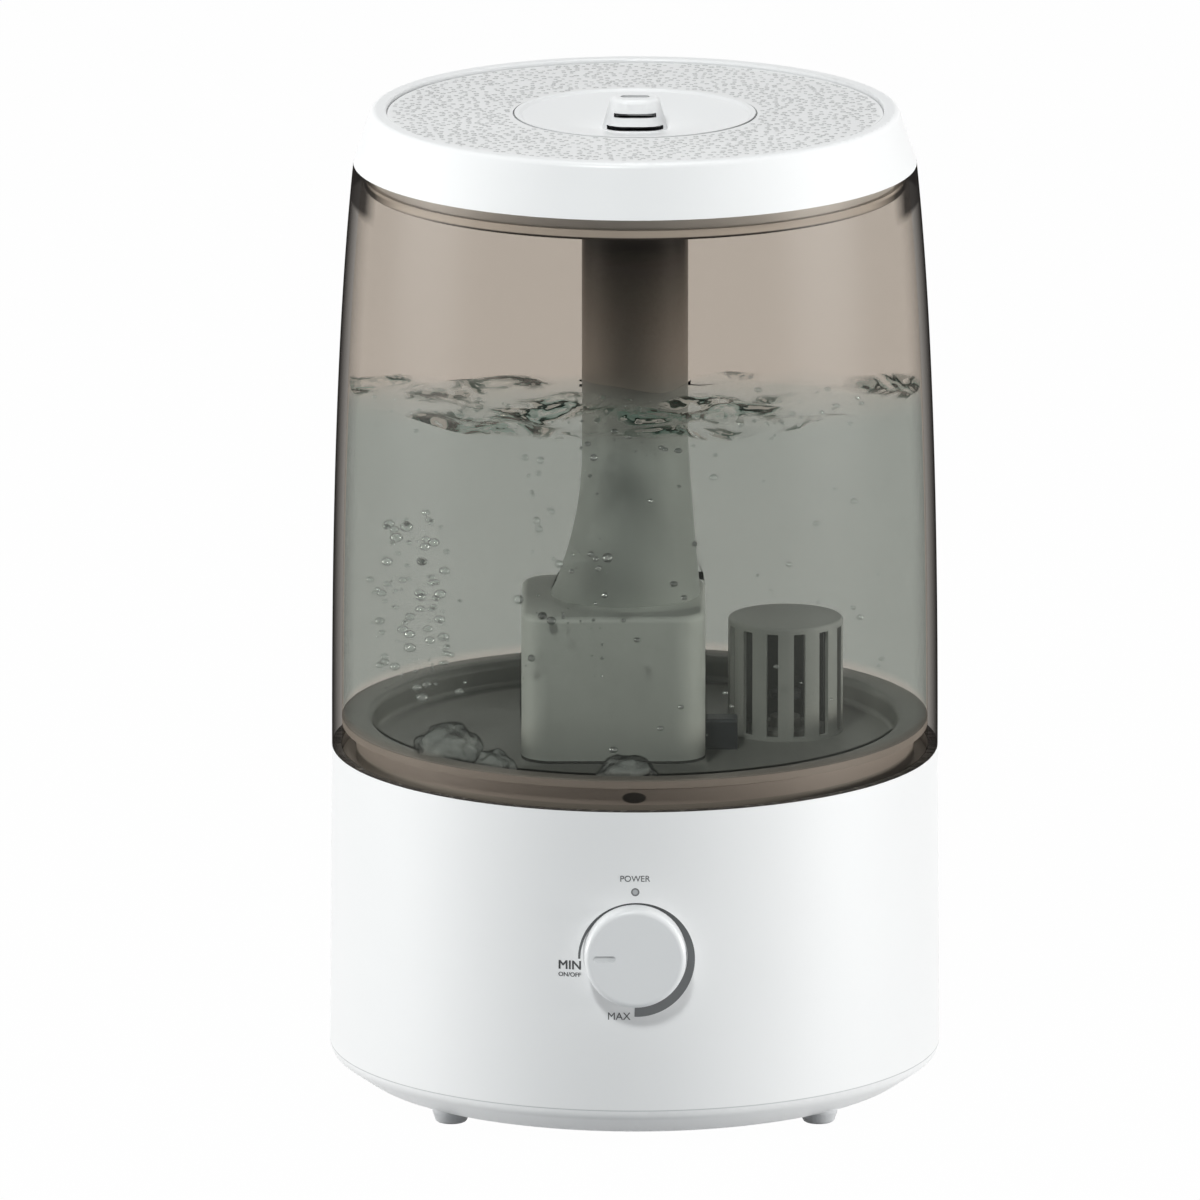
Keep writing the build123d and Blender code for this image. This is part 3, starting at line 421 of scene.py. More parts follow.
# %% Lid seal
seal = moulded("lid_seal", (0.88, 0.835, 0.785), 0.55, 0.7, 0.008, 0.05)
seal_low, seal_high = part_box("lid_seal")
x_wire, _, z_wire = seal.axes()
below_top = z_wire.rise(seal_high.z - 0.5 * MM, seal_high.z - 1.1 * MM)
limb = seal.facing().rise(0.52, 0.74) * below_top
in_front = x_wire.absolute().rise(62 * MM, 28 * MM)
lip_line = (0.7 + 2.2 * in_front) * z_wire.clear_of(seal_low.z, 0.75 * MM)
# Painted shade: the dark line along the lower lip and the dark sides.
seal.coat((0.016, 0.014, 0.012), lip_line.most(limb).least(1.0))

# %% [markdown]
# ## Metals
# Plated steel and drawn aluminium carry fine streaks. A noise stretched along one axis gives
# them, and it feeds the roughness as well as the bump, as a real streak does.

# %% Metals
def metal(name, colour, roughness, stretch, fine):
    finish = Finish(name, Metallic=1.0)
    scale = finish.node("ShaderNodeMapping", {"vector_type": "POINT"}, Vector=finish.place(),
                        Scale=stretch)
    streak = finish.node("ShaderNodeTexNoise", None, Vector=scale, Scale=fine, Detail=3.0)
    slow = finish.noise(60.0, 2.0)
    finish.tint(shade(colour, 0.85), shade(colour, 1.08), 0.5 * streak + 0.5 * slow)
    finish.set(Roughness=roughness + 0.18 * (streak - 0.5))
    finish.bump(streak, 0.006 * MM)


metal("steel", (0.62, 0.63, 0.64), 0.30, (1.0, 1.0, 0.15), 2200.0)
metal("aluminium", (0.74, 0.75, 0.76), 0.34, (1.0, 0.08, 1.0), 1800.0)
metal("brass", (0.78, 0.60, 0.30), 0.28, (1.0, 1.0, 0.3), 1500.0)
metal("copper", (0.72, 0.36, 0.18), 0.32, (1.0, 1.0, 6.0), 1200.0)

# %% [markdown]
# The circuit boards are green resist over copper tracks. A Voronoi pattern's cell edges
# follow straight, angular paths, much as tracks do.

# %% Circuit board
board = Finish("board", Roughness=0.34)
cells = board.node("ShaderNodeTexVoronoi", {"feature": "DISTANCE_TO_EDGE", "distance": "EUCLIDEAN"},
                   Vector=board.place(), Scale=260.0, Randomness=0.7)
track = (1 - cells * 9.0).held()
board.tint((0.020, 0.110, 0.045), (0.060, 0.210, 0.080), track)
board.bump(track, 0.03 * MM)

# %% [markdown]
# The light pipe is frosted clear plastic. Seen from the front, unlit, it is a grey dot with a paler
# middle, because its edge is seen through more plastic; that darker edge is painted shade.

# %% Light pipe
light = Finish("light", Roughness=0.38)
x_wire, _, z_wire = light.axes()
ring_share = (far(x_wire, z_wire - lamp_z) / lamp_radius).rise(0.5, 0.8)
# Painted shade: the edge of the dot is darker than its middle.
light.tint((0.46, 0.47, 0.48), (0.13, 0.135, 0.137), ring_share)
light.bump(light.noise(1500.0, 2.0), 0.01 * MM)

# %% [markdown]
# ## Smoked clear plastic
# Light loses the same share at every millimetre of tinted plastic, so the wall is dark where it is
# seen edge on and pale where it is seen face on. A refracting shader would turn the tank into a
# lens and leave the inside in the dark. Here rays pass straight through, and each side of the wall
# takes its share of the tint. Layer Weight tells how far a surface turns away, and closes the
# outside to dark there. A ray that grazes the wall misses its inside, so past that angle the
# outside takes the missing share too, or the limb would show a pale line. Just under the lid the
# limb is darker still: painted shade, where the wall is seen with the lid's shaded skirt behind it.
# A faint dark line of painted shade marks the wall's foot, where it meets the base.

# %% Smoked tank
def glass_mix(finish, tint, dark, edge, gloss, roughness):
    """Surface of clear plastic: tinted and open, closing to dark at the edge, with some gloss."""
    clear = finish.node("ShaderNodeBsdfTransparent", None, (*tint, 1.0))
    shut = finish.node("ShaderNodeBsdfDiffuse", None, (*dark, 1.0), 0.6)
    shine = finish.node("ShaderNodeBsdfAnisotropic", None, Color=WHITE, Roughness=roughness)
    return finish.mix(gloss, finish.mix(edge, clear, shut), shine)


TINT = (0.823, 0.797, 0.767)
WALL = 2.8 * MM
INSIDE_LIMB = 1 - math.sqrt(1 - (1 - WALL / seam_radius) ** 2)
smoke = Finish("smoke")
facing = smoke.facing()
tall = smoke.axes()[2]
turned_away = facing.rise(0.61, 0.95)
# Painted shade: the limb darker still just under the lid.
rim_limb = 0.92 * tall.rise(rim - 12 * MM, rim - 9 * MM) * facing.rise(0.58, 0.68)
misses_inside = facing.above(INSIDE_LIMB)
limb = turned_away.maths("POWER", 1.5)
edge = 1 - (1 - limb) * (1 - 0.2 * misses_inside)
# Painted shade: a faint dark line at the wall's foot.
foot_line = 0.4 * tall.clear_of(seam, 0.8 * MM)
shut_share = edge.most(foot_line).most(rim_limb)
smoke.show(glass_mix(smoke, TINT, (0.014, 0.012, 0.011), shut_share, gloss=0.005, roughness=0.30))
smoke_inside = Finish("smoke_inside")
drift = 0.02 + 0.02 * smoke_inside.noise(30.0, 2.0)
smoke_inside.show(glass_mix(smoke_inside, TINT, (0.10, 0.09, 0.08), drift, gloss=0.002,
                            roughness=0.30))

# %% [markdown]
# ## Carry the finishes over
# A solid whose shape is right keeps its mesh and only gets its finish.

# %% Finish every solid
special = {"valve_float": "dark_float", "valve_stem": "dark_float", "lid_seal": "lid_seal",
           "mist_chamber": "chamber", "mist_nozzle": "spout"}
for name, solid in nodes.items():
    solid.material_slots[0].material = Finish.made[special.get(name, slot_of[name])]
    assert len(solid.material_slots) == 1, name
print("finished", len(nodes), "solids with", len(Finish.made), "finishes")

# %% [markdown]
# ## Meshes and pieces
# Some steps are needed by every piece: to put an object in the scene, to take its mesh once its
# modifiers have run, and to give a mesh its finish, its body and its smooth faces with sharp
# corners. Faces of a closed piece point outwards, or its shading and its volume come out wrong.

# %% Make a piece
def put(name, data):
    """Makes an object of some data and puts it in the scene."""
    made = bpy.data.objects.new(name, data)
    bpy.context.collection.objects.link(made)
    return made


def final_mesh(thing):
    """The mesh of an object with its modifiers applied. The object is removed."""
    graph = bpy.context.evaluated_depsgraph_get()
    mesh = bpy.data.meshes.new_from_object(thing.evaluated_get(graph))
    bpy.data.objects.remove(thing)
    return mesh


def as_mesh(work, name):
    """Keeps a working mesh under a name."""
    mesh = bpy.data.meshes.new(name)
    work.to_mesh(mesh)
    work.free()
    return mesh


def around(reach, angle, height):
    """The point at a distance from the axis, in one direction, at a height."""
    return reach * math.cos(angle), reach * math.sin(angle), height


def settle(name, mesh, material, body, angle=35.0):
    """Makes a mesh a finished piece that rides on its body."""
    mesh.name = name
    if material is not None:
        mesh.materials.clear()
        mesh.materials.append(material)
        for face in mesh.polygons:
            face.material_index = 0
    mesh.shade_smooth()
    mesh.set_sharp_from_angle(angle=math.radians(angle))
    piece = put(name, mesh)
    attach(piece, body)
    print(name, "faces", len(mesh.polygons))
    return piece


def outwards(piece):
    """Points every face of a closed piece away from its inside."""
    work = bmesh.new()
    work.from_mesh(piece.data)
    bmesh.ops.recalc_face_normals(work, faces=work.faces)
    open_edges = sum(1 for edge in work.edges if not edge.is_manifold)
    volume = work.calc_volume(signed=True)
    if volume < 0:
        bmesh.ops.reverse_faces(work, faces=work.faces)
    work.to_mesh(piece.data)
    work.free()
    print(piece.name, "open edges", open_edges, "volume cm3", round(abs(volume) * 1e6, 2))


# %% [markdown]
# ## Shapes from rules
# Geometry Nodes make the pieces that repeat or follow a rule. Each tree has named inputs,
# ends in Realize Instances and Set Material, and is turned into a plain mesh at once.

# %% A rule
class Rule(Tree):
    """A Geometry Nodes tree with named inputs, run once on an empty mesh."""

    def __init__(self, name, **inputs):
        group = bpy.data.node_groups.new(name, "GeometryNodeTree")
        super().__init__(group)
        self.name, self.values = name, {}
        for key, value in inputs.items():
            kind = "NodeSocketInt" if isinstance(value, int) else "NodeSocketFloat"
            self.values[self.takes(key.replace("_", " "), kind).identifier] = value
        group.interface.new_socket(name="Geometry", in_out="OUTPUT",
                                   socket_type="NodeSocketGeometry")
        self.entry = group.nodes.new("NodeGroupInput")
        self.exit = group.nodes.new("NodeGroupOutput")

    def takes(self, key, kind):
        return self.tree.interface.new_socket(name=key, in_out="INPUT", socket_type=kind)

    def takes_shape(self, key):
        """Adds a geometry input, ahead of the numbers."""
        self.tree.interface.move(self.takes(key, "NodeSocketGeometry"), 0)

    def __getitem__(self, key):
        return Wire(self, self.entry.outputs[key])

    def vector(self, x, y, z):
        return self.node("ShaderNodeCombineXYZ", None, x, y, z)

    def random(self, low, high, seed):
        return self.node("FunctionNodeRandomValue", {"data_type": "FLOAT"}, out=1,
                         at={2: low, 3: high, 8: seed})

    def around(self, reach, turn, height):
        """The point at a distance from the axis, in one direction, at a height."""
        return self.vector(reach * turn.maths("COSINE"), reach * turn.maths("SINE"), height)

    def run(self, geometry, material, body, slot, source=None):
        """Finishes the tree and returns the plain mesh piece, riding on its body."""
        real = self.node("GeometryNodeRealizeInstances", None, geometry)
        coated = self.node("GeometryNodeSetMaterial", None, real, Material=material)
        self.tree.links.new(coated.socket, self.exit.inputs[0])
        holder = put(self.name + "_rule", source or bpy.data.meshes.new(self.name))
        modifier = holder.modifiers.new("rule", "NODES")
        modifier.node_group = self.tree
        for identifier, value in self.values.items():
            modifier[identifier] = value
        return settle(self.name, final_mesh(holder), material, body)


# %% [markdown]
# ## The tank wall
# The wall is turned from one gentle curve: upright at the seam, drawn in towards the rim. A
# grid is bent round the axis: its columns are the angle, and its rows climb the outside, cross
# the rim and come down the inside. The rule is the curve itself, so the wall stays smooth,
# which clear plastic needs, because every facet would show in what is seen through it.

# %% Turn the tank wall
BULGE = 105.0 * MM
STEPS = 48
wall = Rule("tank_wall", Seam_radius=seam_radius, Rim_radius=rim_radius, Seam_height=seam,
            Tank_height=rim - seam, Bulge_height=BULGE, Wall=WALL, Columns=257)
row_count = 2 * STEPS + 3
grid = wall.node("GeometryNodeMeshGrid", None, 1.0, 1.0, wall["Columns"], row_count)
spot = wall.node("ShaderNodeSeparateXYZ", None, wall.node("GeometryNodeInputPosition"))
row = (spot.beside(1) + 0.5) * (row_count - 1)
climb = (row / STEPS).least((2 * STEPS + 1 - row) / STEPS).most(0.0)
inside = row.above(STEPS + 0.5) * (1 - row.above(2 * STEPS + 1.5))
drawn_in = (wall["Seam radius"] - wall["Rim radius"]) * climb * climb
radius = wall["Seam radius"] - drawn_in - wall["Wall"] * inside
level = (wall["Seam height"] + 2 * wall["Bulge height"] * climb * (1 - climb)
         + wall["Tank height"] * climb * climb)
bent = wall.node("GeometryNodeSetPosition", None, grid,
                 Position=wall.around(radius, spot * (2 * math.pi), level))
closed = wall.node("GeometryNodeMergeByDistance", None, bent, Distance=0.01 * MM)
tank = wall.run(closed, Finish.made["smoke"], "TANK", "smoke")
outwards(tank)
tank.data.materials.append(smoke_inside.material)
for face in tank.data.polygons:
    outward = face.normal.xy.dot(face.center.xy) / face.center.xy.length
    face.material_index = 1 if outward < -0.3 else 0
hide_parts("tank_shell")


def tank_radius(z):
    """Outside radius of the tank wall at a height."""
    tall = rim - seam
    climb = (BULGE - math.sqrt(BULGE ** 2 - (2 * BULGE - tall) * (z - seam))) / (2 * BULGE - tall)
    return seam_radius - (seam_radius - rim_radius) * climb ** 2


# %% [markdown]
# ## The lid's stippled plate
# The plate inside the rim is covered in shallow pits a little under two millimetres apart.
# A bump map alone would vanish in the exported shape, so each pit is a small dish, coloured a
# darker grey as painted shade. They are scattered evenly, but not in rows, with a fixed seed.

# %% Scatter the pits
plate_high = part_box("lid_inlay")[1]
disc_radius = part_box("mist_nozzle")[1].x
SIDES = 192
plate_in, plate_out = disc_radius + 1.9 * MM, plate_high.x - 1.2 * MM
work = bmesh.new()
inner, outer = [[work.verts.new(around(reach, 2 * math.pi * k / SIDES, plate_high.z))
                 for k in range(SIDES)] for reach in (plate_in, plate_out)]
for k in range(SIDES):
    after = (k + 1) % SIDES
    work.faces.new((inner[k], outer[k], outer[after], inner[after]))
plate_face = as_mesh(work, "plate_face")

pits = Rule("lid_pits", Spacing=1.85 * MM, Density=520000.0, Pit_radius=0.70 * MM, Seed=7)
pits.takes_shape("Face")
spots = pits.node("GeometryNodeDistributePointsOnFaces", {"distribute_method": "POISSON"},
                  Mesh=pits["Face"], Distance_Min=pits["Spacing"], Density_Max=pits["Density"],
                  Seed=pits["Seed"])
bowl = pits.node("GeometryNodeMeshCone", {"fill_type": "NONE"}, 9, 1, 1, pits["Pit radius"],
                 pits["Pit radius"] * 0.35, 0.06 * MM)
size = pits.random(0.7, 1.25, 3)
dishes = pits.node("GeometryNodeInstanceOnPoints", None, spots, Instance=bowl,
                   Scale=pits.vector(size, size * 0.9, 1.0))
# The pits' darker grey is painted shade.
dark_pit = moulded("inlay_pit", (0.55, 0.555, 0.55), 0.6, 0.4, 0.01, 0.15)
pits.run(dishes, dark_pit.material, "LID", "inlay", plate_face)

# %% [markdown]
# ## Water
# The tank is shown part full. The water fills the space between the wall, the floor and the
# parts that stand in it, and its top is broken by waves. It is caught as it sloshes: level at
# the front, lower at the back. Real water bends light so strongly that the tank would turn
# into a lens; slightly cloudy water hides that, so here its skin only tints the light and
# carries a thin veil.

# %% Levels and waves
WATER = seam + 103.5 * MM
SLOSH = 18.0 * MM
GAP = 0.4 * MM
pan_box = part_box("tank_pan")
chamber_low, chamber_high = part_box("mist_chamber")
floor_z, ledge_z = seam + 1.0 * MM + GAP, pan_box[1].z + GAP
TURNS = 240


def box_reach(angle):
    """How far from the axis the chamber's upright sides are, in one direction."""
    reach = 1.0
    for direction, low, high in ((math.cos(angle), chamber_low.x, chamber_high.x),
                                 (math.sin(angle), chamber_low.y, chamber_high.y)):
        if abs(direction) > 1e-6:
            reach = min(reach, (high if direction > 0 else low) / direction)
    return reach


def ripple(x, y):
    """Height of the broken surface above its level at the front: a slosh, a swell and chop."""
    back = min(max(y / seam_radius, 0.0), 1.0)
    slosh = -SLOSH * back * back * (3 - 2 * back)
    swell = noise.noise(Vector((x * 22, y * 22, 1.3))) * 2.4 * MM
    chop = noise.noise(Vector((x * 62, y * 62, 4.1))) * 2.2 * MM
    return slosh + swell + chop


# %% [markdown]
# The water is one closed skin. Each row of points goes once round the axis, and the rows climb
# the wall, cross the broken surface, and come down the tube and the chamber to the floor.

# %% Shape the water
def water_rows():
    """Rings as (reach, height) of an angle, from the outside bottom round and back."""
    wall_steps, top_steps = 14, 56
    ledge_in = pan_box[1].x - 8.2 * MM
    shore = tank_radius(WATER) - WALL - GAP
    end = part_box("tube_seal")[1].x - 0.5 * MM
    waist = chamber_high.z + 12 * MM

    def surface(reach, angle):
        x, y, level = around(reach, angle, WATER)
        return level + ripple(x, y)

    def wall_row(share):
        def height(angle):
            return ledge_z + (surface(shore, angle) - ledge_z) * share
        return lambda angle: tank_radius(height(angle)) - WALL - GAP, height

    def top_row(reach):
        return lambda angle: reach, lambda angle: surface(reach, angle)

    def level_row(reach, z):
        return reach, lambda angle: z

    rows = [(*wall_row(step / wall_steps), False) for step in range(wall_steps)]
    rows += [(*top_row(shore + (end - shore) * step / top_steps), True)
             for step in range(top_steps + 1)]
    rows += [(*level_row(reach, z), False) for reach, z in (
        (lambda angle: end, chamber_high.z + 40 * MM),
        (lambda angle: end + 3.0 * MM, waist),
        (lambda angle: min(end + 8.2 * MM, box_reach(angle)), chamber_high.z + GAP),
        (lambda angle: box_reach(angle) + GAP, chamber_high.z + GAP),
        (lambda angle: box_reach(angle) + GAP, floor_z),
        (lambda angle: max(ledge_in, box_reach(angle) + GAP), floor_z),
        (lambda angle: ledge_in + 0.6 * MM, ledge_z))]
    return rows


def make_water():
    work = bmesh.new()
    rings = []
    for reach, height, broken in water_rows():
        ring = []
        for k in range(TURNS):
            angle = 2 * math.pi * k / TURNS
            ring.append(work.verts.new(around(reach(angle), angle, height(angle))))
        rings.append((ring, broken))
    for index, (lower, broken) in enumerate(rings):
        upper, next_broken = rings[(index + 1) % len(rings)]
        for k in range(TURNS):
            after = (k + 1) % TURNS
            face = work.faces.new((lower[k], lower[after], upper[after], upper[k]))
            face.material_index = 1 if broken and next_broken else 0
    bmesh.ops.remove_doubles(work, verts=work.verts, dist=0.01 * MM)
    return as_mesh(work, "water")


# %% [markdown]
# The body of the water takes a cool share of the light and carries a thin veil of fine
# bubbles. At the back both fade out towards the surface, so the water has no hard outline; at
# the front the wall and the surface take the same share, so the line between them is lost.
# The surface carries curled strokes: dark ones of painted reflection and bright ones of painted
# highlight, in a soft green halo of painted light. A contour of a warped noise is a curled line:
# one level gives the dark strokes, the next level the bright ones beside them, a wide level the
# green halo, and a second noise breaks them into patches.

# %% Water finishes
DEEP_WATER = (0.845, 0.92, 0.945, 1.0)


def water_mix(finish, deep_share, solid_share):
    """Open water between clear and tinted, with the finish's own Principled shader over it."""
    clear = finish.node("ShaderNodeBsdfTransparent", None, WHITE)
    deep = finish.node("ShaderNodeBsdfTransparent", None, DEEP_WATER)
    finish.show(finish.mix(solid_share, finish.mix(deep_share, clear, deep), finish.principled()))


veil = Finish("water_body", Base_Color=(0.60, 0.73, 0.74, 1.0), Roughness=0.7,
              Specular_IOR_Level=0.0)
x_wire, y_wire, z_wire = veil.axes()
at_front = smooth(y_wire.rise(10 * MM, -25 * MM))
depth = WATER - z_wire - SLOSH * smooth(y_wire.rise(0.0, seam_radius))
below = smooth(((depth - 1 * MM + 7 * MM * at_front) / (14 * MM - 11 * MM * at_front)).held())
at_wall = smooth(z_wire.rise(ledge_z, ledge_z + 3 * MM)) * far(x_wire, y_wire).above(74 * MM)
cloud = 0.050 + 0.025 * below + 0.06 * (veil.noise(48.0, 3.0) - 0.5)
water_mix(veil, below * at_wall, cloud * (0.5 + 0.5 * below) * at_wall)

splash = Finish("water_surface", Specular_IOR_Level=0.08)
x_wire, y_wire, _ = splash.axes()
at_front = smooth(y_wire.rise(10 * MM, -25 * MM))
off_shore = smooth(y_wire.rise(8 * MM, -2 * MM)) * smooth(y_wire.rise(-79 * MM, -71 * MM))
off_shore = off_shore * smooth(far(x_wire, y_wire).rise(22 * MM, 27 * MM))
patches = splash.noise(36.0, 2.0).rise(0.435, 0.56) * off_shore
drawn_out = splash.node("ShaderNodeMapping", {"vector_type": "POINT"}, Vector=splash.place(),
                        Scale=(1.0, 0.6, 1.0))
curl = splash.node("ShaderNodeTexNoise", None, Vector=drawn_out, Scale=56.0, Detail=3.0,
                   Roughness=0.60, Distortion=1.5)
# Painted light: a soft green halo along the strokes.
halo = curl.stripe(0.490, 0.110, 2.0) * patches
# Painted reflection: dark strokes.
dark_reflection_stroke = curl.stripe(0.520, 0.042, 2.0) * patches
# Painted highlight: bright strokes beside the dark ones.
highlight_stroke = curl.stripe(0.575, 0.030, 2.0) * patches * (1 - dark_reflection_stroke)
splash.tint((0.55, 0.62, 0.60), (0.80, 0.86, 0.85), splash.noise(60.0, 3.0))
splash.coat((0.20, 0.46, 0.39), 0.9 * halo)
splash.coat((0.008, 0.040, 0.032), dark_reflection_stroke)
splash.coat((0.95, 0.98, 0.97), highlight_stroke)
splash.set(Roughness=0.14 + 0.1 * splash.noise(90.0, 2.0))
splash.bump(splash.noise(170.0, 2.0), 0.7 * MM)
strokes = 0.38 * halo + 0.96 * dark_reflection_stroke + 0.75 * highlight_stroke
water_mix(splash, at_front, (0.07 * at_front + 0.10 * patches + strokes).least(0.97))

water_mesh = make_water()
water_mesh.materials.append(veil.material)
water_mesh.materials.append(splash.material)
outwards(settle("water", water_mesh, None, "TANK", 60.0))

# %% [markdown]
# ## Bubbles
# Bubbles gather in a froth at the surface and rise in two loose plumes. Each is a small
# sphere; a rule scatters them in a ring-shaped room with random sizes and a fixed seed.

# %% Scatter the bubbles
bubble = Finish("bubble")
rim_shade = bubble.facing().rise(0.40, 0.75)
bubble.show(glass_mix(bubble, (0.97, 0.99, 0.985), (0.060, 0.100, 0.090), 0.45 * rim_shade,
                      gloss=0.26, roughness=0.12))


def bubbles(name, count, turns, reaches, heights, radii, squash, seed):
    """Scatters bubbles between two directions, reaches, heights and radii; most are small."""
    rule = Rule(name, Count=count, Near=reaches[0], Far=reaches[1], Low=heights[0], High=heights[1],
                Small=radii[0], Large=radii[1], Seed=seed)
    angle = rule.random(math.radians(turns[0]), math.radians(turns[1]), seed)
    reach = rule.random(rule["Near"], rule["Far"], seed + 1)
    tall = rule.random(rule["Low"], rule["High"], seed + 2)
    spots = rule.node("GeometryNodePoints", None, rule["Count"], rule.around(reach, angle, tall),
                      0.001)
    ball = rule.node("GeometryNodeMeshIcoSphere", None, 1.0, 2)
    skew = rule.random(0.0, 1.0, seed + 3)
    size = rule["Small"] + (rule["Large"] - rule["Small"]) * skew * skew * skew
    balls = rule.node("GeometryNodeInstanceOnPoints", None, spots, Instance=ball,
                      Scale=rule.vector(size, size, size * squash))
    return rule.run(balls, bubble.material, "TANK", "smoke")


wall_in = tank_radius(WATER) - WALL - 2.5 * MM
bubbles("froth", 200, (180, 360), (22 * MM, wall_in), (WATER - 7 * MM, WATER - 1 * MM),
        (0.2 * MM, 1.2 * MM), 0.6, seed=11)
bubbles("left_plume", 170, (193, 222), (60 * MM, wall_in), (seam + 22 * MM, seam + 70 * MM),
        (0.25 * MM, 1.9 * MM), 0.7, seed=23)
bubbles("middle_plume", 80, (225, 262), (36 * MM, 62 * MM), (seam + 30 * MM, WATER - 8 * MM),
        (0.2 * MM, 1.5 * MM), 0.9, seed=37)
bubbles("loose_bubbles", 90, (262, 372), (34 * MM, wall_in), (seam + 14 * MM, WATER - 8 * MM),
        (0.2 * MM, 1.4 * MM), 0.7, seed=51)

# %% [markdown]
# On the tank's floor lie soft lumps of foam. Many clear spheres would cost much light, so each
# lump is one rounded body pushed in and out by noise, half open to light and open at its edge.

# %% Foam
foam = moulded("foam", (0.93, 0.95, 0.94), 0.60, 0.6, 0.010, 0.03, Specular_IOR_Level=0.0)
open_foam = foam.node("ShaderNodeBsdfTransparent", None, WHITE)
share = smooth(foam.facing().rise(0.85, 0.05)) * (0.30 + 0.26 * foam.noise(90.0, 2.0))
foam.show(foam.mix(share, open_foam, foam.principled()))


def foam_lump(name, x, y, high, reach, tall, seed):
    """A lump of foam on the tank floor."""
    work = bmesh.new()
    bmesh.ops.create_icosphere(work, subdivisions=5, radius=1.0)
    for vertex in work.verts:
        away = vertex.co.normalized()
        swell = 1 + 0.20 * noise.noise(away * 1.9 + Vector((seed, 0, 0)))
        swell += 0.05 * noise.noise(away * 4.5 + Vector((0, seed, 0)))
        vertex.co = Vector((x + away.x * reach * swell, y + away.y * reach * swell,
                            max(high + away.z * tall * swell, floor_z + 0.3 * MM)))
    outwards(settle(name, as_mesh(work, name), foam.material, "TANK", 60.0))


foam_lump("left_foam", -52 * MM, -43 * MM, seam + 8 * MM, 9 * MM, 7 * MM, 3.7)
foam_lump("near_foam", -39 * MM, -52 * MM, seam + 5 * MM, 6 * MM, 5 * MM, 8.1)
foam_lump("front_foam", -2 * MM, -60 * MM, seam + 5 * MM, 8 * MM, 5 * MM, 5.3)

# %% [markdown]
# ## Print on the base
# The words and the widening scale round the knob are printed ink, a few hundredths of a
# millimetre thick. Each is drawn flat and then wrapped onto the shell: the distance along X
# and the height stay, and the depth comes from the shell's own radius at that height.

# %% Wrap print onto the shell
INK = 0.03 * MM


def shell_front(x, z, proud):
    """Depth of the shell's front at a place, plus how far the ink stands off it."""
    share = (z - part_line) / (seam - part_line)
    reach = base_radius + share * (seam_radius - base_radius) + proud
    return -math.sqrt(reach ** 2 - x ** 2)


def in_order(things, place):
    """Sorts by place, as an extrusion hands its faces back in another order at each run."""
    for rank, thing in enumerate(sorted(things, key=place)):
        thing.index = rank
    things.sort()


def printed(name, outline_mesh, material, doubled=0.0):
    """Wraps a flat mesh (x, z as its x, y) into a closed layer of ink, twice over if doubled."""
    work = bmesh.new()
    work.from_mesh(outline_mesh)
    bmesh.ops.remove_doubles(work, verts=work.verts, dist=0.002 * MM)
    if doubled:
        every = list(work.verts) + list(work.edges) + list(work.faces)
        second = bmesh.ops.duplicate(work, geom=every)
        moved = [item for item in second["geom"] if isinstance(item, bmesh.types.BMVert)]
        bmesh.ops.translate(work, verts=moved, vec=(doubled, 0, 0))
    for vertex in work.verts:
        x, z = vertex.co.x, vertex.co.y
        vertex.co = Vector((x, shell_front(x, z, INK), z))
    top = list(work.faces)
    grown = bmesh.ops.extrude_face_region(work, geom=top)
    for vertex in (item for item in grown["geom"] if isinstance(item, bmesh.types.BMVert)):
        x, z = vertex.co.x, vertex.co.z
        vertex.co = Vector((x, shell_front(x, z, -INK / 2), z))
    bmesh.ops.recalc_face_normals(work, faces=work.faces)
    in_order(work.verts, lambda vertex: tuple(vertex.co))
    in_order(work.faces, lambda face: tuple(face.calc_center_median()))
    return settle(name, as_mesh(work, name), material, "BASE")


ink = moulded("ink", (0.065, 0.068, 0.070), 0.45, 0.2, 0.004, 0.10)
scale_ink = Finish("scale_ink", Roughness=0.42)
fade = scale_ink.axes()[2].rise(knob_z - 20 * MM, knob_z + 20 * MM)
scale_ink.tint((0.180, 0.188, 0.192), (0.026, 0.029, 0.030), fade)


def word(text, width, x, z, doubled=0.0):
    """A word in a plain face, a given width across, centred on a place; doubled makes it bolder."""
    curve = bpy.data.curves.new("word_" + text.lower().replace("/", "_"), "FONT")
    curve.body, curve.align_x, curve.align_y = text, "CENTER", "CENTER"
    curve.resolution_u = 6
    flat = final_mesh(put(curve.name, curve))
    across = [vertex.co.x for vertex in flat.vertices]
    tall = [vertex.co.y for vertex in flat.vertices]
    scale = width / (max(across) - min(across))
    middle = Vector(((max(across) + min(across)) / 2, (max(tall) + min(tall)) / 2, 0))
    for vertex in flat.vertices:
        vertex.co = (vertex.co - middle) * scale + Vector((x, z, 0))
    return printed(curve.name, flat, ink.material, doubled)


word("POWER", 8.2 * MM, 0.0, lamp_z + 3.8 * MM)
word("MIN", 6.0 * MM, -18.1 * MM, knob_z - 3.5 * MM, 0.16 * MM)
word("ON/OFF", 6.1 * MM, -18.1 * MM, knob_z - 6.2 * MM, 0.07 * MM)
word("MAX", 6.2 * MM, -4.4 * MM, knob_z - 17.6 * MM)

# %% [markdown]
# The scale is a crescent that starts as a fine line at MIN and widens clockwise to MAX. It is
# one strip of faces between two arcs.

# %% Widening scale
SCALE_REACH, SCALE_TURN, SCALE_STEPS = 16.1 * MM, 272, 150


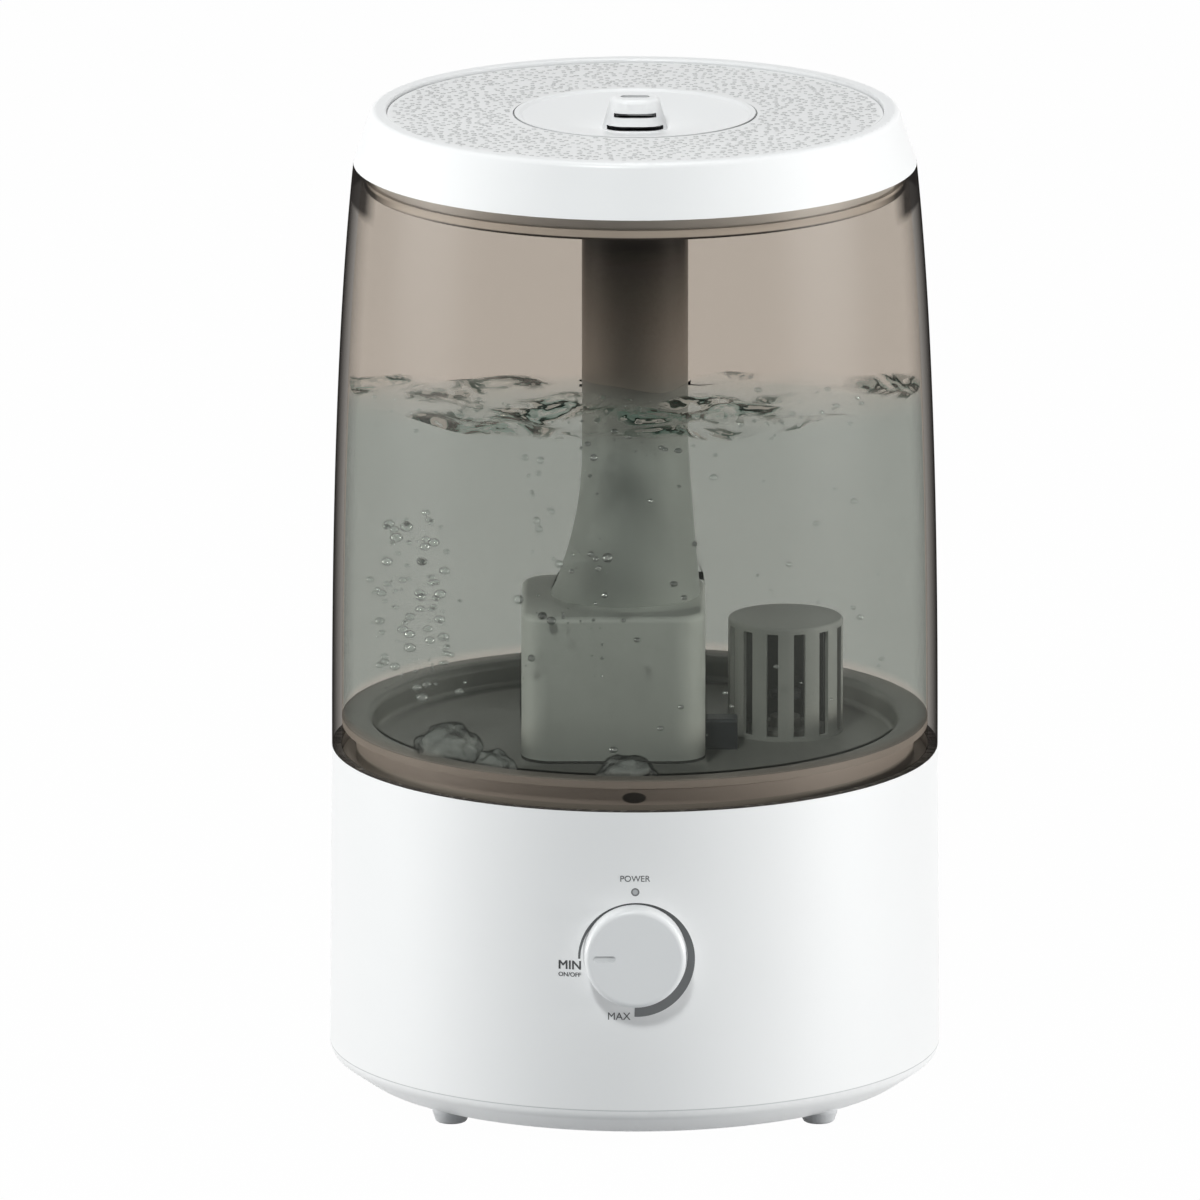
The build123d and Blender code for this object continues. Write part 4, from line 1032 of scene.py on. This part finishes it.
def crescent():
    """Flat strip from the left clockwise, in a frame of (x, z)."""
    work = bmesh.new()
    middle = Vector((0.35 * MM, knob_z - 1.65 * MM))
    strips = []
    for step in range(SCALE_STEPS + 1):
        share = step / SCALE_STEPS
        angle = math.radians(180 - SCALE_TURN * share)
        thick = (0.62 + 0.9 * share + 2.0 * share ** 2) * MM
        strip = []
        for lane in range(4):
            x, z, _ = around(SCALE_REACH - thick * lane / 3, angle, 0)
            strip.append(work.verts.new((middle.x + x, middle.y + z, 0)))
        strips.append(strip)
    for before, after in zip(strips, strips[1:]):
        for lane in range(3):
            work.faces.new((before[lane], before[lane + 1], after[lane + 1], after[lane]))
    return as_mesh(work, "scale_flat")


printed("scale_print", crescent(), scale_ink.material)

# %% [markdown]
# ## Screws
# The solids hold each screw as a plain head and shank. The pieces that replace them have a
# domed head, a cross recess and the ridges of a thread. Their places are read from the solids,
# and each blank is turned about its own axis.

# %% Places and blanks
def centres(name):
    """Places of a group's separate solids, from how its points cluster."""
    found = []
    for vertex in nodes[name].data.vertices:
        for group in found:
            if (group[0] - vertex.co.xy).length < 7 * MM:
                group.append(vertex.co.xy.copy())
                break
        else:
            found.append([vertex.co.xy.copy()])
    middles = []
    for group in found:
        xs, ys = [point.x for point in group], [point.y for point in group]
        middles.append(((min(xs) + max(xs)) / 2, (min(ys) + max(ys)) / 2))
    return middles


def spun(name, profile, segments):
    """Closed solid turned about Z from (radius, height) points that start and end on the axis."""
    work = bmesh.new()
    rings = []
    for radius, height in profile:
        count = segments if radius > 1e-7 else 1
        rings.append([work.verts.new(around(radius, 2 * math.pi * k / segments, height))
                      for k in range(count)])
    for lower, upper in zip(rings, rings[1:]):
        for k in range(segments):
            corners = [lower[k % len(lower)], lower[(k + 1) % len(lower)],
                       upper[(k + 1) % len(upper)], upper[k % len(upper)]]
            corners = list(dict.fromkeys(corners))
            if len(corners) > 2:
                work.faces.new(corners)
    bmesh.ops.recalc_face_normals(work, faces=work.faces)
    return as_mesh(work, name)


# %% [markdown]
# One screw is made for each size. A Boolean cuts the cross out of its head with two crossed
# bars, and a rule sets a copy at every place.

# %% Screws with cross recesses
def screw_mesh(head, head_height, shank, length):
    """One screw with its seat at height 0 and its head below it."""
    profile = [(0, -head_height), (head * 0.55, -head_height), (head * 0.9, -head_height * 0.8),
               (head, -head_height * 0.35), (head, 0), (shank, 0)]
    pitch = 0.8 * MM
    for turn_index in range(int(length / pitch) - 1):
        z = pitch * (turn_index + 0.5)
        profile += [(shank * 0.78, z), (shank, z + pitch * 0.45), (shank * 0.78, z + pitch * 0.9)]
    profile += [(shank * 0.35, length), (0, length)]
    work = bmesh.new()
    lowered = Matrix.Translation((0, 0, -head_height))
    bar = Matrix.Diagonal((head * 1.15, head * 0.26, head_height * 0.9, 1))
    for turned in (0, 90):
        crossed = Matrix.Rotation(math.radians(turned), 4, "Z") @ bar
        bmesh.ops.create_cube(work, size=1.0, matrix=lowered @ crossed)
    cutter = put("cross", as_mesh(work, "cross"))
    solid = put("screw_blank", spun("screw_blank", profile, 20))
    cut = solid.modifiers.new("cross", "BOOLEAN")
    cut.operation, cut.solver, cut.use_self, cut.object = "DIFFERENCE", "EXACT", True, cutter
    mesh = final_mesh(solid)
    bpy.data.objects.remove(cutter)
    return mesh


def screws(node, head, head_height, shank, length, heads_up):
    """Replaces one group of the base's screws, given one screw's sizes in millimetres."""
    sizes = [size * MM for size in (head, head_height, shank, length)]
    low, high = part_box(node)
    seat = high.z - sizes[1] if heads_up else low.z + sizes[1]
    single = put(node + "_single", screw_mesh(*sizes))
    places = bpy.data.meshes.new(node + "_places")
    places.from_pydata([(x, y, seat) for x, y in centres(node)], [], [])
    rule = Rule(node + "_detail", Turn=math.pi if heads_up else 0.0)
    rule.takes_shape("Places")
    shape = rule.node("GeometryNodeObjectInfo", None, single, out=4)
    spread = rule.node("GeometryNodeInstanceOnPoints", None, rule["Places"], Instance=shape,
                       Rotation=rule.vector(rule["Turn"], 0.0, 0.4))
    made = rule.run(spread, Finish.made["steel"], "BASE", "steel", places)
    bpy.data.objects.remove(single)
    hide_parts(node)


screws("cover_screws", 2.6, 1.8, 1.35, 15.6, heads_up=False)
screws("fan_screws", 2.6, 1.8, 1.4, 16.0, heads_up=False)
screws("transducer_screws", 2.2, 1.3, 1.25, 5.0, heads_up=False)
screws("board_screws", 2.2, 1.3, 1.25, 6.8, heads_up=True)

# %% [markdown]
# ## The stage
# A plain floor throws light back up at the object. To the camera, in reflections and through
# the clear plastic, the world and the floor read as white, and only a trace of the object's
# shadow is left. So the object stands on white without more light falling on it.

# %% Floor and world
def seen_directly(tree):
    """1 for rays from the camera, from gloss and through clear plastic."""
    camera = tree.node("ShaderNodeLightPath")
    glossy, through = camera.beside("Is Glossy Ray"), camera.beside("Is Transmission Ray")
    return camera.most(glossy).most(through)


work = bmesh.new()
bmesh.ops.create_grid(work, x_segments=1, y_segments=1, size=6.0)
floor_mesh = as_mesh(work, "floor")
floor = put("floor", floor_mesh)
floor_finish = Finish("floor_finish", Base_Color=(0.50, 0.51, 0.52, 1.0), Roughness=0.9,
                      Specular_IOR_Level=0.0)
glow = floor_finish.node("ShaderNodeEmission", None, WHITE, 1.0)
white_share = 0.99 * seen_directly(floor_finish)
floor_finish.show(floor_finish.mix(white_share, floor_finish.principled(), glow))
floor_mesh.materials.append(floor_finish.material)

world = bpy.data.worlds.new("studio")
bpy.context.scene.world = world
world.use_nodes = True
sky = Tree(world.node_tree)
room = sky.node("ShaderNodeBackground", None, (0.91, 0.96, 1.0, 1.0), 0.12)
white_room = sky.node("ShaderNodeBackground", None, WHITE, 1.0)
sky_mix = sky.mix(seen_directly(sky), room, white_room)
world.node_tree.links.new(sky_mix.socket, world.node_tree.nodes["World Output"].inputs["Surface"])

# %% [markdown]
# Two wide, low lamps stand at the sides, so the round body is bright at its edges and falls
# off to a cool grey in the middle, and the lid's sides stay short of white. A smaller key lamp
# stands high at the front left. It shades the knob's bevel and throws its shadow down and to
# the right. The last lamp hangs over the lid.

# %% Lamps
def lamp(name, place, aim_z, width, tall, watts, colour):
    """An area lamp at a place, aimed at a height on the object's axis."""
    data = bpy.data.lights.new(name, "AREA")
    data.shape, data.size, data.size_y = "RECTANGLE", width, tall
    data.energy, data.color = watts, colour
    made = put(name, data)
    made.location = place
    aim = Vector((0, 0, aim_z)) - Vector(place)
    made.rotation_euler = aim.to_track_quat("-Z", "Y").to_euler()
    print(name, "watts", watts)


WARM, COOL, NEUTRAL = (1.0, 0.995, 0.985), (0.975, 1.0, 1.0), (1.0, 1.0, 1.0)
middle_z = (cad_box[0].z + cad_box[1].z) / 2
lamp("left_lamp", (-1.5, 0.0, 0.17), middle_z, 0.9, 0.32, 14.2, WARM)
lamp("right_lamp", (1.5, -0.27, 0.17), middle_z, 0.9, 0.32, 17.4, WARM)
lamp("key_lamp", (-0.32, -1.15, 1.38), middle_z, 0.22, 0.22, 13.4, COOL)
lamp("top_lamp", (0.0, 0.05, 1.55), lid_top, 0.50, 0.50, 6.5, NEUTRAL)

# %% [markdown]
# The camera is far off with a long lens, a little above the object, and looks slightly to its
# left, so the object stands right of the middle.

# %% Camera
DISTANCE, ELEVATION, FRAME_WIDTH = 6.5, math.radians(13.0), 333.6 * MM
look_at = Vector((-9.7 * MM, 0.0, seam + 40.5 * MM))
camera_data = bpy.data.cameras.new("camera")
camera_data.sensor_width = 36.0
camera_data.lens = camera_data.sensor_width * DISTANCE / FRAME_WIDTH
camera_data.clip_end = 60.0
camera = put("camera", camera_data)
camera.location = look_at + DISTANCE * Vector((0.0, -math.cos(ELEVATION), math.sin(ELEVATION)))
camera.rotation_euler = (look_at - camera.location).to_track_quat("-Z", "Y").to_euler()
bpy.context.scene.camera = camera
bpy.context.scene.view_settings.view_transform = "Standard"
print("lens mm", round(camera_data.lens, 1))
